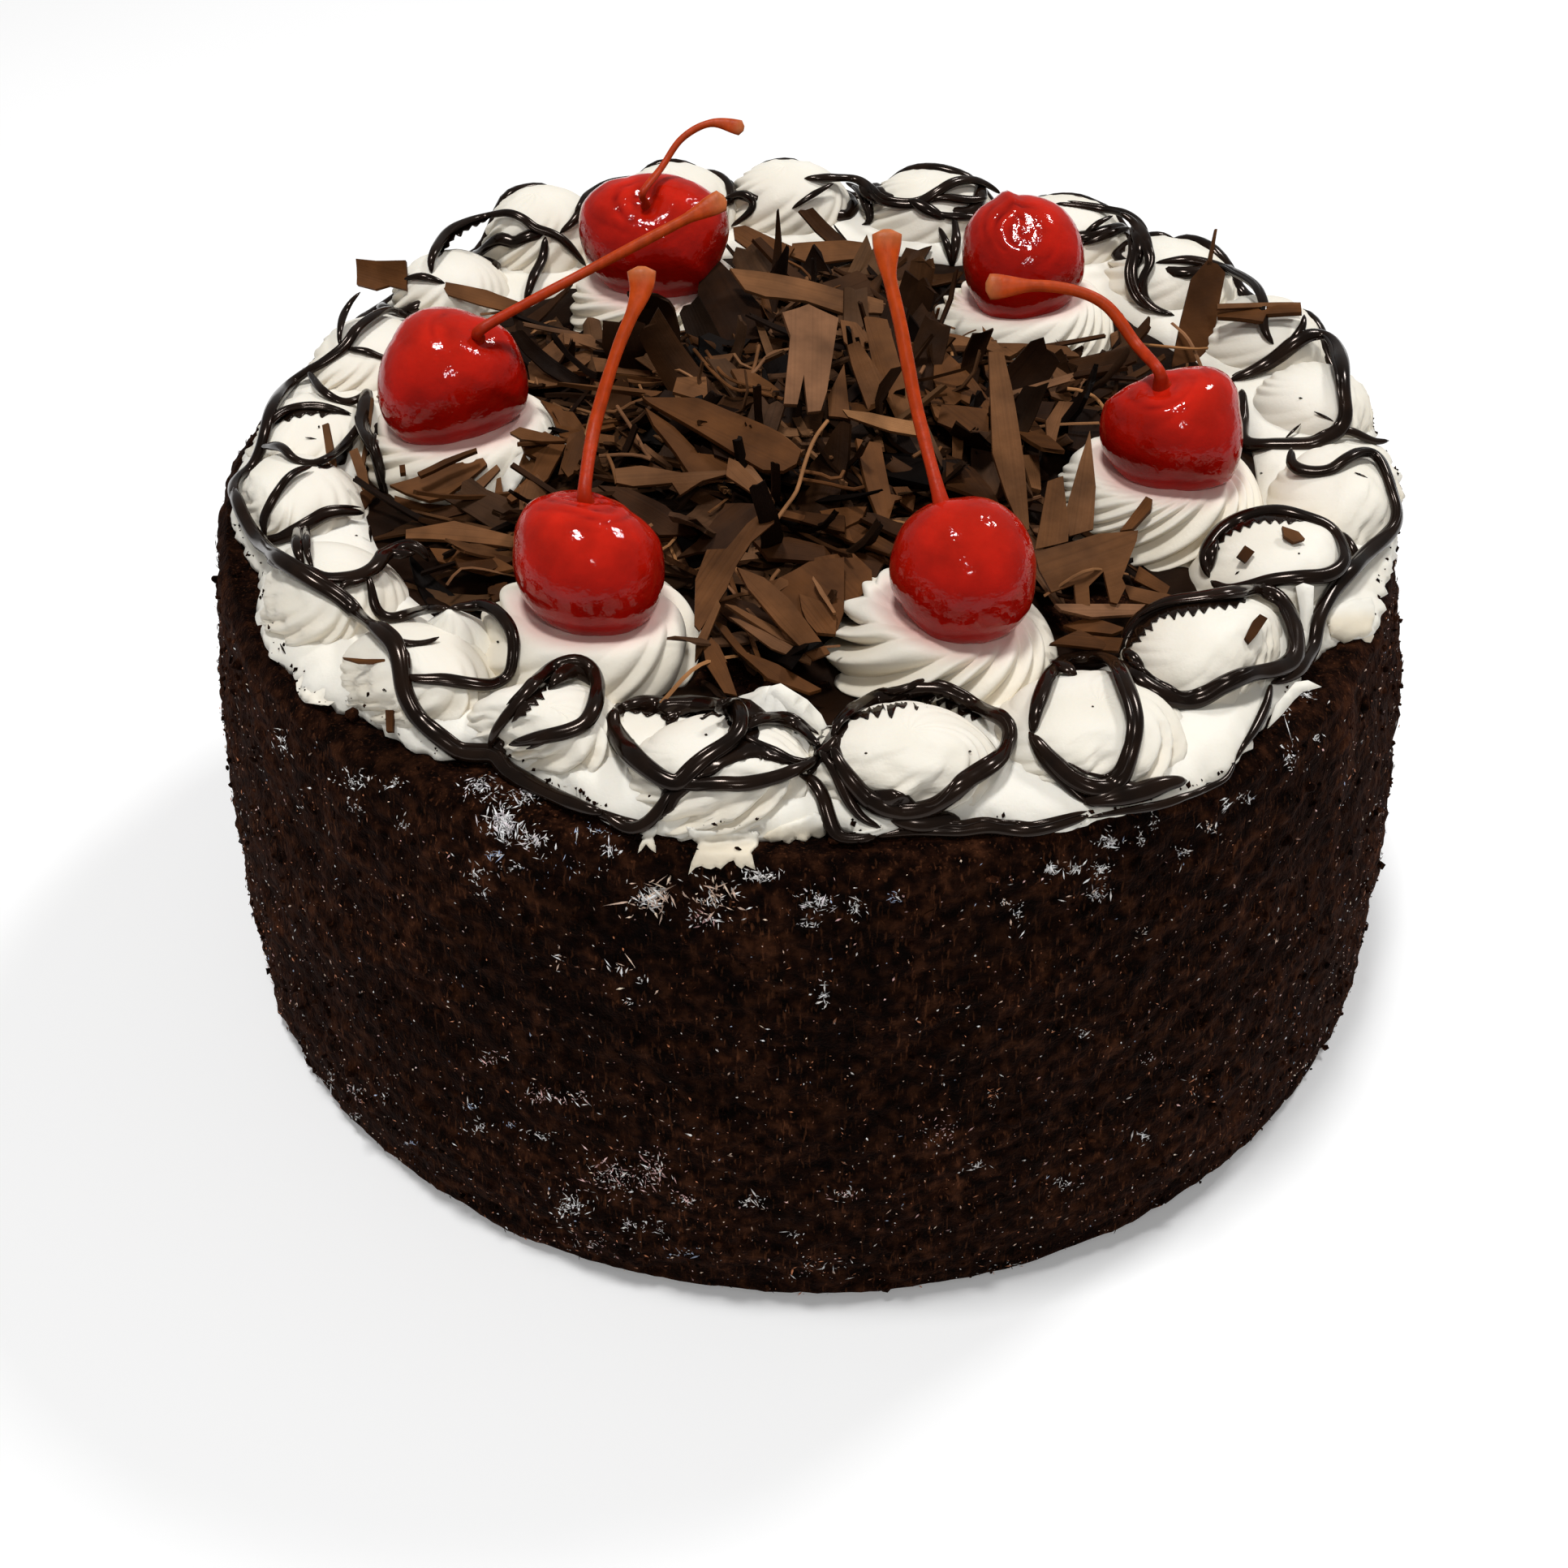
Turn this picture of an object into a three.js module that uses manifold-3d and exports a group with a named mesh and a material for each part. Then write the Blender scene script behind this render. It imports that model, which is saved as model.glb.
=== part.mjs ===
// Black forest cake, whole and uncut: a round cake with a crumb-coated side, a ring of piped cream
// swirls laced with chocolate drizzle, six cream rosettes that carry cherries, and a heap of
// chocolate shavings in the middle. Millimetres, +Z up, origin at the centre of the base.
import * as THREE from 'three';
import { mergeVertices } from 'three/addons/utils/BufferGeometryUtils.js';
import Module from 'manifold-3d';

const wasm = await Module();
wasm.setup();

// ---- driving dimensions ----
const GAP = 0.35;                 // clearance between neighbouring solids
const CAKE_RADIUS = 107;          // at the base
const CAKE_TOP = 90;              // flat top of the cake, under the cream
const RIM_RADIUS = 99.6;          // where the shoulder meets the flat top
const SHOULDER_HEIGHT = 87.8;     // where the shoulder meets the side
const CRUMB_RELIEF = 1.3;         // depth of the crags in the side
const CALM_HEIGHT = 75;           // above this height the crags only go inwards
const SEGMENTS = 60;              // divisions round the cake and its cream ring

const SWIRL_COUNT = 21;           // piped swirls in the border
const SWIRL_RING = 88.6;          // radius of the circle they stand on
const SWIRL_RADIUS = 14;
const SWIRL_HEIGHT = 8.8;
const SWIRL_RIDGES = 6;
const FIRST_SWIRL = 280;          // degrees

const ROSETTE_RADIUS = 17.4;      // larger swirls, under the cherries
const ROSETTE_HEIGHT = 12.6;
const ROSETTE_RIDGES = 12;
const CREAM_BASE = CAKE_TOP + GAP;

const RING_INNER = 74.5;          // cream sheet under the border swirls
const RING_TOP = CAKE_TOP + 3.8;
const SKIRT_THICKNESS = 1.5;      // cream hanging over the shoulder
const SKIRT_FOOT = CAKE_TOP - 0.3; // height where the skirt starts, before its drops
const ROOM = 1.03;                // how much wider than a rosette its room in the border is
const HEADROOM = 1.3;             // and how much higher

const CHERRY_HEIGHT = 105.2;      // height of the cherries' centres
const STEM_RADIUS = 1.1;
const STEM_FLARE = 6;             // length of the wider end of a stem
const DRIZZLE_RADIUS = 1.6;       // half the width of a rope of chocolate
const EDGE_ROPE = 98.6;           // radius of the rope round the outer edge

const HEAP_RADIUS = RING_INNER - 0.5;
const HEAP_EDGE = CAKE_TOP + 3;   // the core dome's height at its edge and in the middle
const HEAP_MIDDLE = CAKE_TOP + 10;
const SHAVING_COUNT = 30;
const SHAVING_THICKNESS = 1.2;
const SHAVING_MARGIN = 1;         // how far the strips stay from rosettes and stems
const BLADE_LENGTH = 33;          // the one tall blade at the edge of the heap
const BLADE_WIDTH = 7;
const BLADE_PLACE = [66, 15];
const BLADE_LEAN = -80;           // degrees from lying flat
const BLADE_TURN = 75;

// Loose chocolate that lies on the border: [length, width, height], then where its middle is.
const STICK = { size: [23, 2, 1.6], angle: 21.5, ring: 87.5, height: 100.2 };
const FLAKE = { size: [9, 2.2, 6], angle: 149.5, ring: 92, height: 100.6 };

const COLOURS = {
  crumb: { color: 0x2a1610, roughness: 0.95, metalness: 0 },
  cream: { color: 0xf3eee2, roughness: 0.55, metalness: 0 },
  cherry: { color: 0xb8100a, roughness: 0.12, metalness: 0 },
  stem: { color: 0xa8401a, roughness: 0.4, metalness: 0 },
  shavings: { color: 0x5a3a26, roughness: 0.6, metalness: 0 },
};

// Each topping is a rosette with a cherry. `lean` points out of the cherry's dimple, `shift` is the
// cherry's place off the middle of its rosette, and `stem` runs from the cherry's centre.
const TOPPINGS = [
  {
    angle: 180, ring: 59, radius: 12, lean: [0.52, -0.17, 0.84], shift: [-0.5, 1.5],
    stem: [[19.6, 7.1, 14.2], [31.6, 11.4, 18.9], [45.2, 16.2, 24.2]],
  },
  {
    angle: 240, ring: 63, radius: 10.8, lean: [-0.04, 0.33, 0.94], shift: [0.8, 0.6],
    stem: [[0.5, 13.6, 15.7], [3.6, 20.5, 23.6], [6.9, 25.9, 29.8], [7.2, 28.6, 32.9]],
  },
  {
    angle: 291.4, ring: 60.4, radius: 10.8, lean: [-0.3, 0.5, 0.8], shift: [2.6, 0.8],
    stem: [[-6.6, 16.8, 17.3], [-8.9, 24.4, 26.2], [-10.7, 29.7, 32.4], [-10.9, 33.5, 36.8]],
  },
  {
    angle: 344, ring: 59.8, radius: 10.8, lean: [-0.3, -0.05, 0.95], shift: [1.8, 0.5],
    stem: [[-6.3, 5.6, 12.3], [-11.4, 9.7, 17.2], [-19, 11.3, 19.2], [-29.9, 11.2, 19.3]],
  },
  {
    angle: 48.4, ring: 58, radius: 11.2, lean: [-0.11, -0.53, 0.84], shift: [-1.5, 0.5],
    stem: null,
  },
  {
    angle: 119, ring: 60.1, radius: 12.4, lean: [-0.06, -0.45, 0.89], shift: [0, 0.8],
    stem: [[1.2, 0.6, 15.1], [4.6, 4.6, 19.5], [9.8, 6.4, 21.5], [15.8, 5.8, 20.8]],
  },
];

// Tongues of cream that hang below the ragged edge of the skirt.
const DRIPS = [
  { angle: 218, width: 7, drop: 3 },
  { angle: 243, width: 4, drop: 3 },
  { angle: 265, width: 5, drop: 3.5 },
  { angle: 328, width: 4, drop: 3 },
  { angle: 60, width: 6, drop: 2.5 },
  { angle: 135, width: 5, drop: 3 },
];

// ---- small helpers ----
const radians = THREE.MathUtils.degToRad;

function seededRandom(seed) {
  let state = seed;
  return () => {
    state = (state + 0x6d2b79f5) | 0;
    let mixed = Math.imul(state ^ (state >>> 15), 1 | state);
    mixed = (mixed + Math.imul(mixed ^ (mixed >>> 7), 61 | mixed)) ^ mixed;
    return ((mixed ^ (mixed >>> 14)) >>> 0) / 2 ** 32;
  };
}

function between(random, low, high) {
  return low + (high - low) * random();
}

function onCircle(degrees, radius, z) {
  const angle = radians(degrees);
  return new THREE.Vector3(radius * Math.cos(angle), radius * Math.sin(angle), z);
}

// Moves every vertex of a geometry by a function that changes the point it is given.
function reshape(geometry, move) {
  const position = geometry.attributes.position;
  const point = new THREE.Vector3();
  for (let i = 0; i < position.count; i += 1) {
    point.fromBufferAttribute(position, i);
    move(point);
    position.setXYZ(i, point.x, point.y, point.z);
  }
  return geometry;
}

// A profile of [radius, height] points turned about +Z.
function turned(profile, segments) {
  const points = profile.map(([radius, height]) => new THREE.Vector2(radius, height));
  return new THREE.LatheGeometry(points, segments).rotateX(Math.PI / 2);
}

// The outline of a domed lump of cream: steep at its foot, rounded on top.
function domeProfile(radius, height, rows) {
  const profile = [[0, 0]];
  for (let i = 0; i < rows; i += 1) {
    const angle = (i / rows) * (Math.PI / 2);
    profile.push([radius * Math.cos(angle) ** 0.8, height * Math.sin(angle) ** 1.1]);
  }
  profile.push([0, height]);
  return profile;
}

// Height of such a dome above its foot, at a distance from its middle.
function domeHeight(radius, height, distance) {
  if (distance >= radius) {
    return 0;
  }
  const angle = Math.acos((distance / radius) ** (1 / 0.8));
  return height * Math.sin(angle) ** 1.1;
}

// ---- joining and cutting ----
function toSolid(geometry) {
  const bare = new THREE.BufferGeometry();
  bare.setAttribute('position', geometry.attributes.position.clone());
  bare.setIndex(geometry.index ? geometry.index.clone() : null);
  const merged = mergeVertices(bare, 1e-4);
  const index = merged.index.array;
  const triangles = [];
  for (let i = 0; i < index.length; i += 3) {
    const [a, b, c] = [index[i], index[i + 1], index[i + 2]];
    if (a !== b && b !== c && c !== a) {
      triangles.push(a, b, c);
    }
  }
  const mesh = { numProp: 3, vertProperties: new Float32Array(merged.attributes.position.array) };
  const solid = new wasm.Manifold(new wasm.Mesh({ ...mesh, triVerts: new Uint32Array(triangles) }));
  if (solid.volume() > 0) {
    return solid;
  }
  const flipped = new Uint32Array(triangles).reverse();
  return new wasm.Manifold(new wasm.Mesh({ ...mesh, triVerts: flipped }));
}

// The largest connected body of a solid, as a three.js geometry.
function toGeometry(solid) {
  const bodies = solid.decompose().sort((a, b) => b.volume() - a.volume());
  const mesh = bodies[0].getMesh();
  const geometry = new THREE.BufferGeometry();
  geometry.setAttribute('position', new THREE.BufferAttribute(mesh.vertProperties, 3));
  geometry.setIndex(new THREE.BufferAttribute(mesh.triVerts, 1));
  geometry.computeVertexNormals();
  return geometry;
}

function joined(geometries) {
  return geometries.map(toSolid).reduce((sum, solid) => sum.add(solid));
}

// ---- cake ----
const CAKE_SIDE = [
  [CAKE_RADIUS - 2.5, 0],
  [CAKE_RADIUS - 0.6, 1.5],
  [CAKE_RADIUS, 13],
  [CAKE_RADIUS - 0.8, 27],
  [CAKE_RADIUS - 1.6, 41],
  [CAKE_RADIUS - 2.5, 55],
  [CAKE_RADIUS - 3.5, 68],
  [CAKE_RADIUS - 4.5, 80],
  [CAKE_RADIUS - 5.4, SHOULDER_HEIGHT],
  [RIM_RADIUS, CAKE_TOP],
];

// Radius of the smooth side at a height.
function sideRadius(height) {
  for (let i = 1; i < CAKE_SIDE.length; i += 1) {
    const [lowRadius, low] = CAKE_SIDE[i - 1];
    const [highRadius, high] = CAKE_SIDE[i];
    if (height <= high) {
      return lowRadius + ((highRadius - lowRadius) * (height - low)) / (high - low);
    }
  }
  return RIM_RADIUS;
}

// Uneven crags, between -1 and 1, that come back to the same value after a full turn.
function crags(angle, height) {
  const broad = Math.sin(5 * angle + height * 0.11) * Math.cos(3 * angle - height * 0.07);
  const fine = Math.sin(17 * angle + 1.9 * Math.sin(height * 0.3)) * Math.cos(height * 0.37 + 4 * angle);
  const rough = Math.sin(29 * angle - height * 1.3) * Math.sin(23 * angle + height * 0.9);
  return 0.35 * broad + 0.35 * fine + 0.3 * rough;
}

// The flat base and the flat top keep their round edges.
function cakeGeometry() {
  const profile = [[0, 0], ...CAKE_SIDE, [0, CAKE_TOP]];
  return reshape(turned(profile, SEGMENTS), (point) => {
    const radius = Math.hypot(point.x, point.y);
    const onSide = radius > RIM_RADIUS + 0.5 && point.z > 0.5;
    if (onSide) {
      const relief = CRUMB_RELIEF * crags(Math.atan2(point.y, point.x), point.z);
      const depth = point.z > CALM_HEIGHT ? -Math.abs(relief) * 0.6 : relief;
      const scale = (radius + depth) / radius;
      point.x *= scale;
      point.y *= scale;
    }
  });
}

// ---- cream border ----
function swirlSpecs() {
  const random = seededRandom(7);
  const specs = [];
  for (let i = 0; i < SWIRL_COUNT; i += 1) {
    specs.push({
      angle: FIRST_SWIRL + (i * 360) / SWIRL_COUNT + between(random, -1.2, 1.2),
      ring: SWIRL_RING + between(random, -0.8, 0.8),
      radius: SWIRL_RADIUS * between(random, 0.95, 1.04),
      height: SWIRL_HEIGHT * between(random, 0.88, 1.1),
      loop: between(random, 0.62, 0.76),
      oval: between(random, 0.92, 1.06),
      turn: between(random, 0, 360),
    });
  }
  return specs;
}

// Cream piped through a star nozzle: ridges wind up the flank of a turned profile and fade out
// above the height `smoothFrom`.
function piped(profile, ridges, depth, twist, smoothFrom) {
  const height = profile[profile.length - 1][1];
  return reshape(turned(profile, ridges * 2), (point) => {
    const distance = Math.hypot(point.x, point.y);
    const angle = Math.atan2(point.y, point.x);
    const groove = point.z < smoothFrom ? depth * (0.5 - 0.5 * Math.cos(ridges * angle)) : 0;
    const wound = angle + twist * (point.z / height);
    point.x = distance * (1 - groove) * Math.cos(wound);
    point.y = distance * (1 - groove) * Math.sin(wound);
  });
}

// A border swirl with its loop of drizzle, a raised bead round the crest.
function borderSwirl(spec) {
  const { radius, height } = spec;
  const loop = radius * spec.loop;
  const onDome = (distance) => domeHeight(radius, height, distance);
  const profile = [
    [0, 0],
    [radius, 0],
    [radius * 0.98, height * 0.4],
    [loop + DRIZZLE_RADIUS, onDome(loop + DRIZZLE_RADIUS)],
    [loop + DRIZZLE_RADIUS * 0.4, onDome(loop) + DRIZZLE_RADIUS],
    [loop - DRIZZLE_RADIUS * 0.6, onDome(loop) + DRIZZLE_RADIUS],
    [loop - DRIZZLE_RADIUS * 1.2, onDome(loop - DRIZZLE_RADIUS * 1.2)],
    [0, height],
  ];
  const place = onCircle(spec.angle, spec.ring, CREAM_BASE);
  return piped(profile, SWIRL_RIDGES, 0.16, 1.1, height * 0.5)
    .rotateZ(radians(spec.turn))
    .scale(1, spec.oval, 1)
    .rotateZ(radians(spec.angle))
    .translate(place.x, place.y, place.z);
}

// How far the cream hangs over the rim at an angle in degrees.
function skirtDrop(degrees) {
  const angle = radians(degrees);
  let drop = 0.4 + 0.2 * Math.sin(9 * angle + 1) + 0.2 * Math.sin(14 * angle);
  for (const drip of DRIPS) {
    const away = THREE.MathUtils.euclideanModulo(degrees - drip.angle + 180, 360) - 180;
    drop += drip.drop * Math.exp(-((away / drip.width) ** 2));
  }
  return drop;
}

// The sheet of cream under the swirls, with a ragged skirt over the rim of the cake and a rope of
// drizzle, a raised bead, round its outer edge.
function creamRing() {
  const inside = sideRadius(SKIRT_FOOT) + GAP;
  const profile = [
    [RING_INNER, CREAM_BASE],
    [RIM_RADIUS + 0.1, CREAM_BASE],
    [inside, SKIRT_FOOT],
    [inside + SKIRT_THICKNESS * 0.8, SKIRT_FOOT],
    [inside + SKIRT_THICKNESS, CREAM_BASE + 0.8],
    [EDGE_ROPE + DRIZZLE_RADIUS, RING_TOP - 1.6],
    [EDGE_ROPE + DRIZZLE_RADIUS * 0.6, RING_TOP],
    [EDGE_ROPE - DRIZZLE_RADIUS, RING_TOP + 0.8],
    [RING_INNER + 1, RING_TOP - 0.6],
    [RING_INNER, CREAM_BASE],
  ];
  return reshape(turned(profile, SEGMENTS), (point) => {
    const radius = Math.hypot(point.x, point.y);
    if (point.z < SKIRT_FOOT + 0.1) {
      const stand = radius - sideRadius(point.z);
      const degrees = THREE.MathUtils.radToDeg(Math.atan2(point.y, point.x));
      point.z = Math.max(SKIRT_FOOT - skirtDrop(degrees), SHOULDER_HEIGHT + 0.1);
      const scale = (sideRadius(point.z) + stand) / radius;
      point.x *= scale;
      point.y *= scale;
    }
  });
}

// A block of loose chocolate on the border, tipped about X and Y by so many degrees.
function scrap(spec, tipX, tipY) {
  const block = new THREE.BoxGeometry(...spec.size).rotateX(radians(tipX)).rotateY(radians(tipY));
  const place = onCircle(spec.angle, spec.ring, spec.height);
  return block.translate(place.x, place.y, place.z);
}

// Room for a rosette, cut out of what surrounds it.
function rosetteRoom(topping) {
  const place = rosettePlace(topping);
  const radius = ROSETTE_RADIUS * ROOM + GAP;
  const dome = domeProfile(radius, ROSETTE_HEIGHT * HEADROOM, 4);
  const profile = [[0, -1], [radius, -1], ...dome.slice(1)];
  return toSolid(turned(profile, 18).translate(place.x, place.y, place.z));
}

function borderGeometry() {
  const swirls = swirlSpecs().map(borderSwirl);
  let border = joined([creamRing(), ...swirls, scrap(STICK, 0, -4), scrap(FLAKE, -25, 0)]);
  for (const topping of TOPPINGS) {
    border = border.subtract(rosetteRoom(topping));
  }
  return toGeometry(border);
}

// ---- rosettes, cherries and stems ----
function cherryPlace(topping) {
  return onCircle(topping.angle, topping.ring, CHERRY_HEIGHT);
}

function rosettePlace(topping) {
  const cherry = cherryPlace(topping);
  return new THREE.Vector3(cherry.x - topping.shift[0], cherry.y - topping.shift[1], CREAM_BASE);
}

// A slightly flattened ball with a dimple where the stem grows, turned to lean its own way.
function cherryGeometry(topping, extra) {
  const rows = 8;
  const flatness = 0.94;
  const dimple = 0.2;
  const profile = [];
  for (let i = 0; i <= rows; i += 1) {
    const angle = (i / rows) * Math.PI;
    const radius = Math.sin(angle);
    const sink = dimple * Math.exp(-((radius / 0.3) ** 2)) * (i > rows / 2 ? 1 : 0);
    profile.push([i === rows ? 0 : radius, -flatness * Math.cos(angle) - sink]);
  }
  const size = topping.radius + extra;
  const up = new THREE.Vector3(0, 0, 1);
  const turn = new THREE.Quaternion().setFromUnitVectors(up, leanDirection(topping));
  return turned(profile, 12).scale(size, size, size).applyQuaternion(turn);
}

function leanDirection(topping) {
  return new THREE.Vector3(...topping.lean).normalize();
}

function rosetteGeometry(topping) {
  const profile = domeProfile(ROSETTE_RADIUS, ROSETTE_HEIGHT, 4);
  const swirl = piped(profile, ROSETTE_RIDGES, 0.13, 0.9, ROSETTE_HEIGHT);
  const seat = cherryGeometry(topping, GAP);
  seat.translate(topping.shift[0], topping.shift[1], CHERRY_HEIGHT - CREAM_BASE);
  return toGeometry(toSolid(swirl).subtract(toSolid(seat)));
}

function stemPoints(topping) {
  return topping.stem.map((point) => new THREE.Vector3(...point));
}

// A thin stalk that starts in the dimple and widens over the last stretch to its free end.
function stemGeometry(topping) {
  const start = leanDirection(topping).multiplyScalar(topping.radius * 0.79 + GAP);
  const bend = leanDirection(topping).multiplyScalar(topping.radius * 1.05);
  const points = [start, bend, ...stemPoints(topping)];
  const path = new THREE.CatmullRomCurve3(points);
  const outline = new THREE.Shape().absarc(0, 0, STEM_RADIUS, 0, Math.PI * 2);
  const stem = new THREE.ExtrudeGeometry(outline, { extrudePath: path, steps: 8, curveSegments: 3 });
  const tip = points[points.length - 1];
  return reshape(stem, (point) => {
    const flare = Math.max(0, 1 - point.distanceTo(tip) / STEM_FLARE);
    const nearest = nearestOnPath(path, point);
    point.sub(nearest).multiplyScalar(1 + 0.9 * flare).add(nearest);
  });
}

function nearestOnPath(path, point) {
  let best = null;
  for (const candidate of path.getSpacedPoints(60)) {
    if (!best || candidate.distanceToSquared(point) < best.distanceToSquared(point)) {
      best = candidate;
    }
  }
  return best;
}

// ---- heap of shavings ----
function heapHeight(distance) {
  const slope = 0.5 + 0.5 * Math.cos(Math.PI * Math.min(distance / HEAP_RADIUS, 1));
  return HEAP_EDGE + (HEAP_MIDDLE - HEAP_EDGE) * slope;
}

function heapCore() {
  const profile = [[0, CREAM_BASE], [HEAP_RADIUS, CREAM_BASE]];
  const rows = 4;
  for (let i = 0; i < rows; i += 1) {
    const distance = HEAP_RADIUS * (1 - i / rows);
    profile.push([distance, heapHeight(distance)]);
  }
  profile.push([0, HEAP_MIDDLE]);
  let core = toSolid(turned(profile, 24));
  for (const topping of TOPPINGS) {
    core = core.subtract(rosetteRoom(topping));
  }
  return core;
}

// A bent strip of chocolate, pointed at one end.
function shaving(length, width, bend, slant) {
  const strip = new THREE.BoxGeometry(length, width, SHAVING_THICKNESS, 3, 1, 1);
  return reshape(strip, (point) => {
    const along = point.x / length;
    point.y *= 1 - 0.5 * Math.max(0, along);
    point.y += slant * width * along;
    point.z += bend * length * (0.25 - 4 * along * along * 0.25);
  });
}

function isBesideRosette(topping, point) {
  const rosette = rosettePlace(topping);
  const distance = Math.hypot(point.x - rosette.x, point.y - rosette.y);
  return distance > ROSETTE_RADIUS + SHAVING_MARGIN;
}

function isBesideStem(topping, point) {
  if (!topping.stem) {
    return true;
  }
  const cherry = cherryPlace(topping);
  let from = cherry;
  return stemPoints(topping).every((offset) => {
    const to = offset.add(cherry);
    const nearest = new THREE.Line3(from, to).closestPointToPoint(point, true, new THREE.Vector3());
    from = to;
    return nearest.distanceTo(point) > STEM_RADIUS * 2 + SHAVING_MARGIN;
  });
}

// True where a point keeps clear of the cake, the rosettes, the stems and the border.
function isClear(point) {
  const insideHeap = Math.hypot(point.x, point.y) <= HEAP_RADIUS && point.z >= CREAM_BASE;
  const beside = (topping) => isBesideRosette(topping, point) && isBesideStem(topping, point);
  return insideHeap && TOPPINGS.every(beside);
}

function isClearGeometry(geometry) {
  const position = geometry.attributes.position;
  const point = new THREE.Vector3();
  for (let i = 0; i < position.count; i += 1) {
    if (!isClear(point.fromBufferAttribute(position, i))) {
      return false;
    }
  }
  return true;
}

// Draws strips at random over the heap and keeps those that cross nothing.
function scatteredShavings() {
  const random = seededRandom(5);
  const kept = [];
  while (kept.length < SHAVING_COUNT) {
    const distance = HEAP_RADIUS * Math.sqrt(random());
    const place = onCircle(between(random, 0, 360), distance, heapHeight(distance));
    const length = between(random, 14, 38 - distance * 0.3);
    const width = between(random, 5, 11);
    const strip = shaving(length, width, between(random, 0, 0.22), between(random, -0.4, 0.4));
    strip.rotateX(radians(between(random, -35, 35)));
    strip.rotateY(radians(between(random, -28, 28)));
    strip.rotateZ(radians(between(random, 0, 360)));
    strip.translate(place.x, place.y, place.z + between(random, 0.5, 3.5));
    if (isClearGeometry(strip)) {
      kept.push(strip);
    }
  }
  return kept;
}

// The one tall blade that stands up at the edge of the heap. `extra` thickens it all over.
function bladeGeometry(extra) {
  const blade = new THREE.BoxGeometry(BLADE_LENGTH, BLADE_WIDTH, SHAVING_THICKNESS, 3, 1, 1);
  reshape(blade, (point) => {
    const along = point.x / BLADE_LENGTH;
    point.y *= 1 - 1.5 * Math.max(0, along - 0.1);
    point.x += extra * Math.sign(point.x);
    point.y += extra * Math.sign(point.y);
    point.z += extra * Math.sign(point.z);
  });
  blade.rotateY(radians(BLADE_LEAN)).rotateZ(radians(BLADE_TURN));
  return blade.translate(...BLADE_PLACE, CREAM_BASE + BLADE_LENGTH / 2 + 1);
}

function shavingsGeometry() {
  let heap = heapCore();
  for (const strip of scatteredShavings()) {
    heap = heap.add(toSolid(strip));
  }
  return toGeometry(heap.subtract(toSolid(bladeGeometry(GAP))));
}

// ---- scene graph ----
function named(name, geometry, material) {
  const mesh = new THREE.Mesh(geometry, new THREE.MeshStandardMaterial(COLOURS[material]));
  mesh.name = name;
  return mesh;
}

// A rosette with its cherry and stem, in a group that stands on the cake.
function toppingGroup(topping, number) {
  const group = new THREE.Group();
  group.position.copy(rosettePlace(topping));
  group.add(named(`rosette_${number}`, rosetteGeometry(topping), 'cream'));
  const cherry = named(`cherry_${number}`, cherryGeometry(topping, 0), 'cherry');
  cherry.position.set(topping.shift[0], topping.shift[1], CHERRY_HEIGHT - CREAM_BASE);
  group.add(cherry);
  if (topping.stem) {
    const stem = named(`stem_${number}`, stemGeometry(topping), 'stem');
    stem.position.copy(cherry.position);
    group.add(stem);
  }
  return group;
}

const cake = new THREE.Group();
cake.add(named('cake', cakeGeometry(), 'crumb'));
cake.add(named('cream_border', borderGeometry(), 'cream'));
cake.add(named('shavings', shavingsGeometry(), 'shavings'));
cake.add(named('chocolate_blade', bladeGeometry(0), 'shavings'));
TOPPINGS.forEach((topping, index) => cake.add(toppingGroup(topping, index + 1)));

export default cake;
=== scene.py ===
"""Black forest cake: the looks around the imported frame.

Every length here is in millimetres in the frame's axes; mesh_object() turns it into metres.
Points given in pixels belong to the 1932 x 1932 picture and are cast onto the cake.
"""

import math
from itertools import combinations

import bpy
import numpy as np
from mathutils import Matrix, Vector
from mathutils.bvhtree import BVHTree
from mathutils.geometry import delaunay_2d_cdt


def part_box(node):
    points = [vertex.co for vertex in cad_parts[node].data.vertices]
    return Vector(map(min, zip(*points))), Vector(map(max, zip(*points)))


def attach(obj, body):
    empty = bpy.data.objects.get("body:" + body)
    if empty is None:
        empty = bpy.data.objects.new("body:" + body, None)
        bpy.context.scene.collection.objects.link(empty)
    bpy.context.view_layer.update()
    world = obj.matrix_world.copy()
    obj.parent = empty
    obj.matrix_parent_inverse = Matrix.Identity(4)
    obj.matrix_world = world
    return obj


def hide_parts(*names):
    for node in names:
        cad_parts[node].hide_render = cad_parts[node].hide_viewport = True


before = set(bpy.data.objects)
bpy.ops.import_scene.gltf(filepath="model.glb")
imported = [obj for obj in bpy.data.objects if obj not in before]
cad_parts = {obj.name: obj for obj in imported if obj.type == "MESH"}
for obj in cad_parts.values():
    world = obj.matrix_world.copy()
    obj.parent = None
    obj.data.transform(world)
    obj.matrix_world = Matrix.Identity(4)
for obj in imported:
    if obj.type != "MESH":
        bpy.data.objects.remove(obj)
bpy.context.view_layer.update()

MM = 0.001


def node_box(node):
    """Lowest and highest corner of a CAD node, in millimetres."""
    low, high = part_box(node)
    return np.array(low) / MM, np.array(high) / MM


# ---- driving dimensions, from the frame ----
CAKE_LOW, CAKE_HIGH = node_box("cake")
CAKE_RADIUS = (CAKE_HIGH[0] - CAKE_LOW[0]) / 2
CAKE_TOP = CAKE_HIGH[2]
# The gap between two solids of the frame.
GAP = 0.35
CREAM_BASE = CAKE_TOP + GAP

# ---- camera ----
PHOTO_SIZE = 1932
FOCAL_PIXELS = 2415
SENSOR = 36.0
CAMERA_DISTANCE = 393.0
CAMERA_ELEVATION = math.radians(42.55)
CAMERA_AIM = np.array([-4.9, 0.0, 16.9])
CAMERA_ROLL = math.radians(-0.58)


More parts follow.
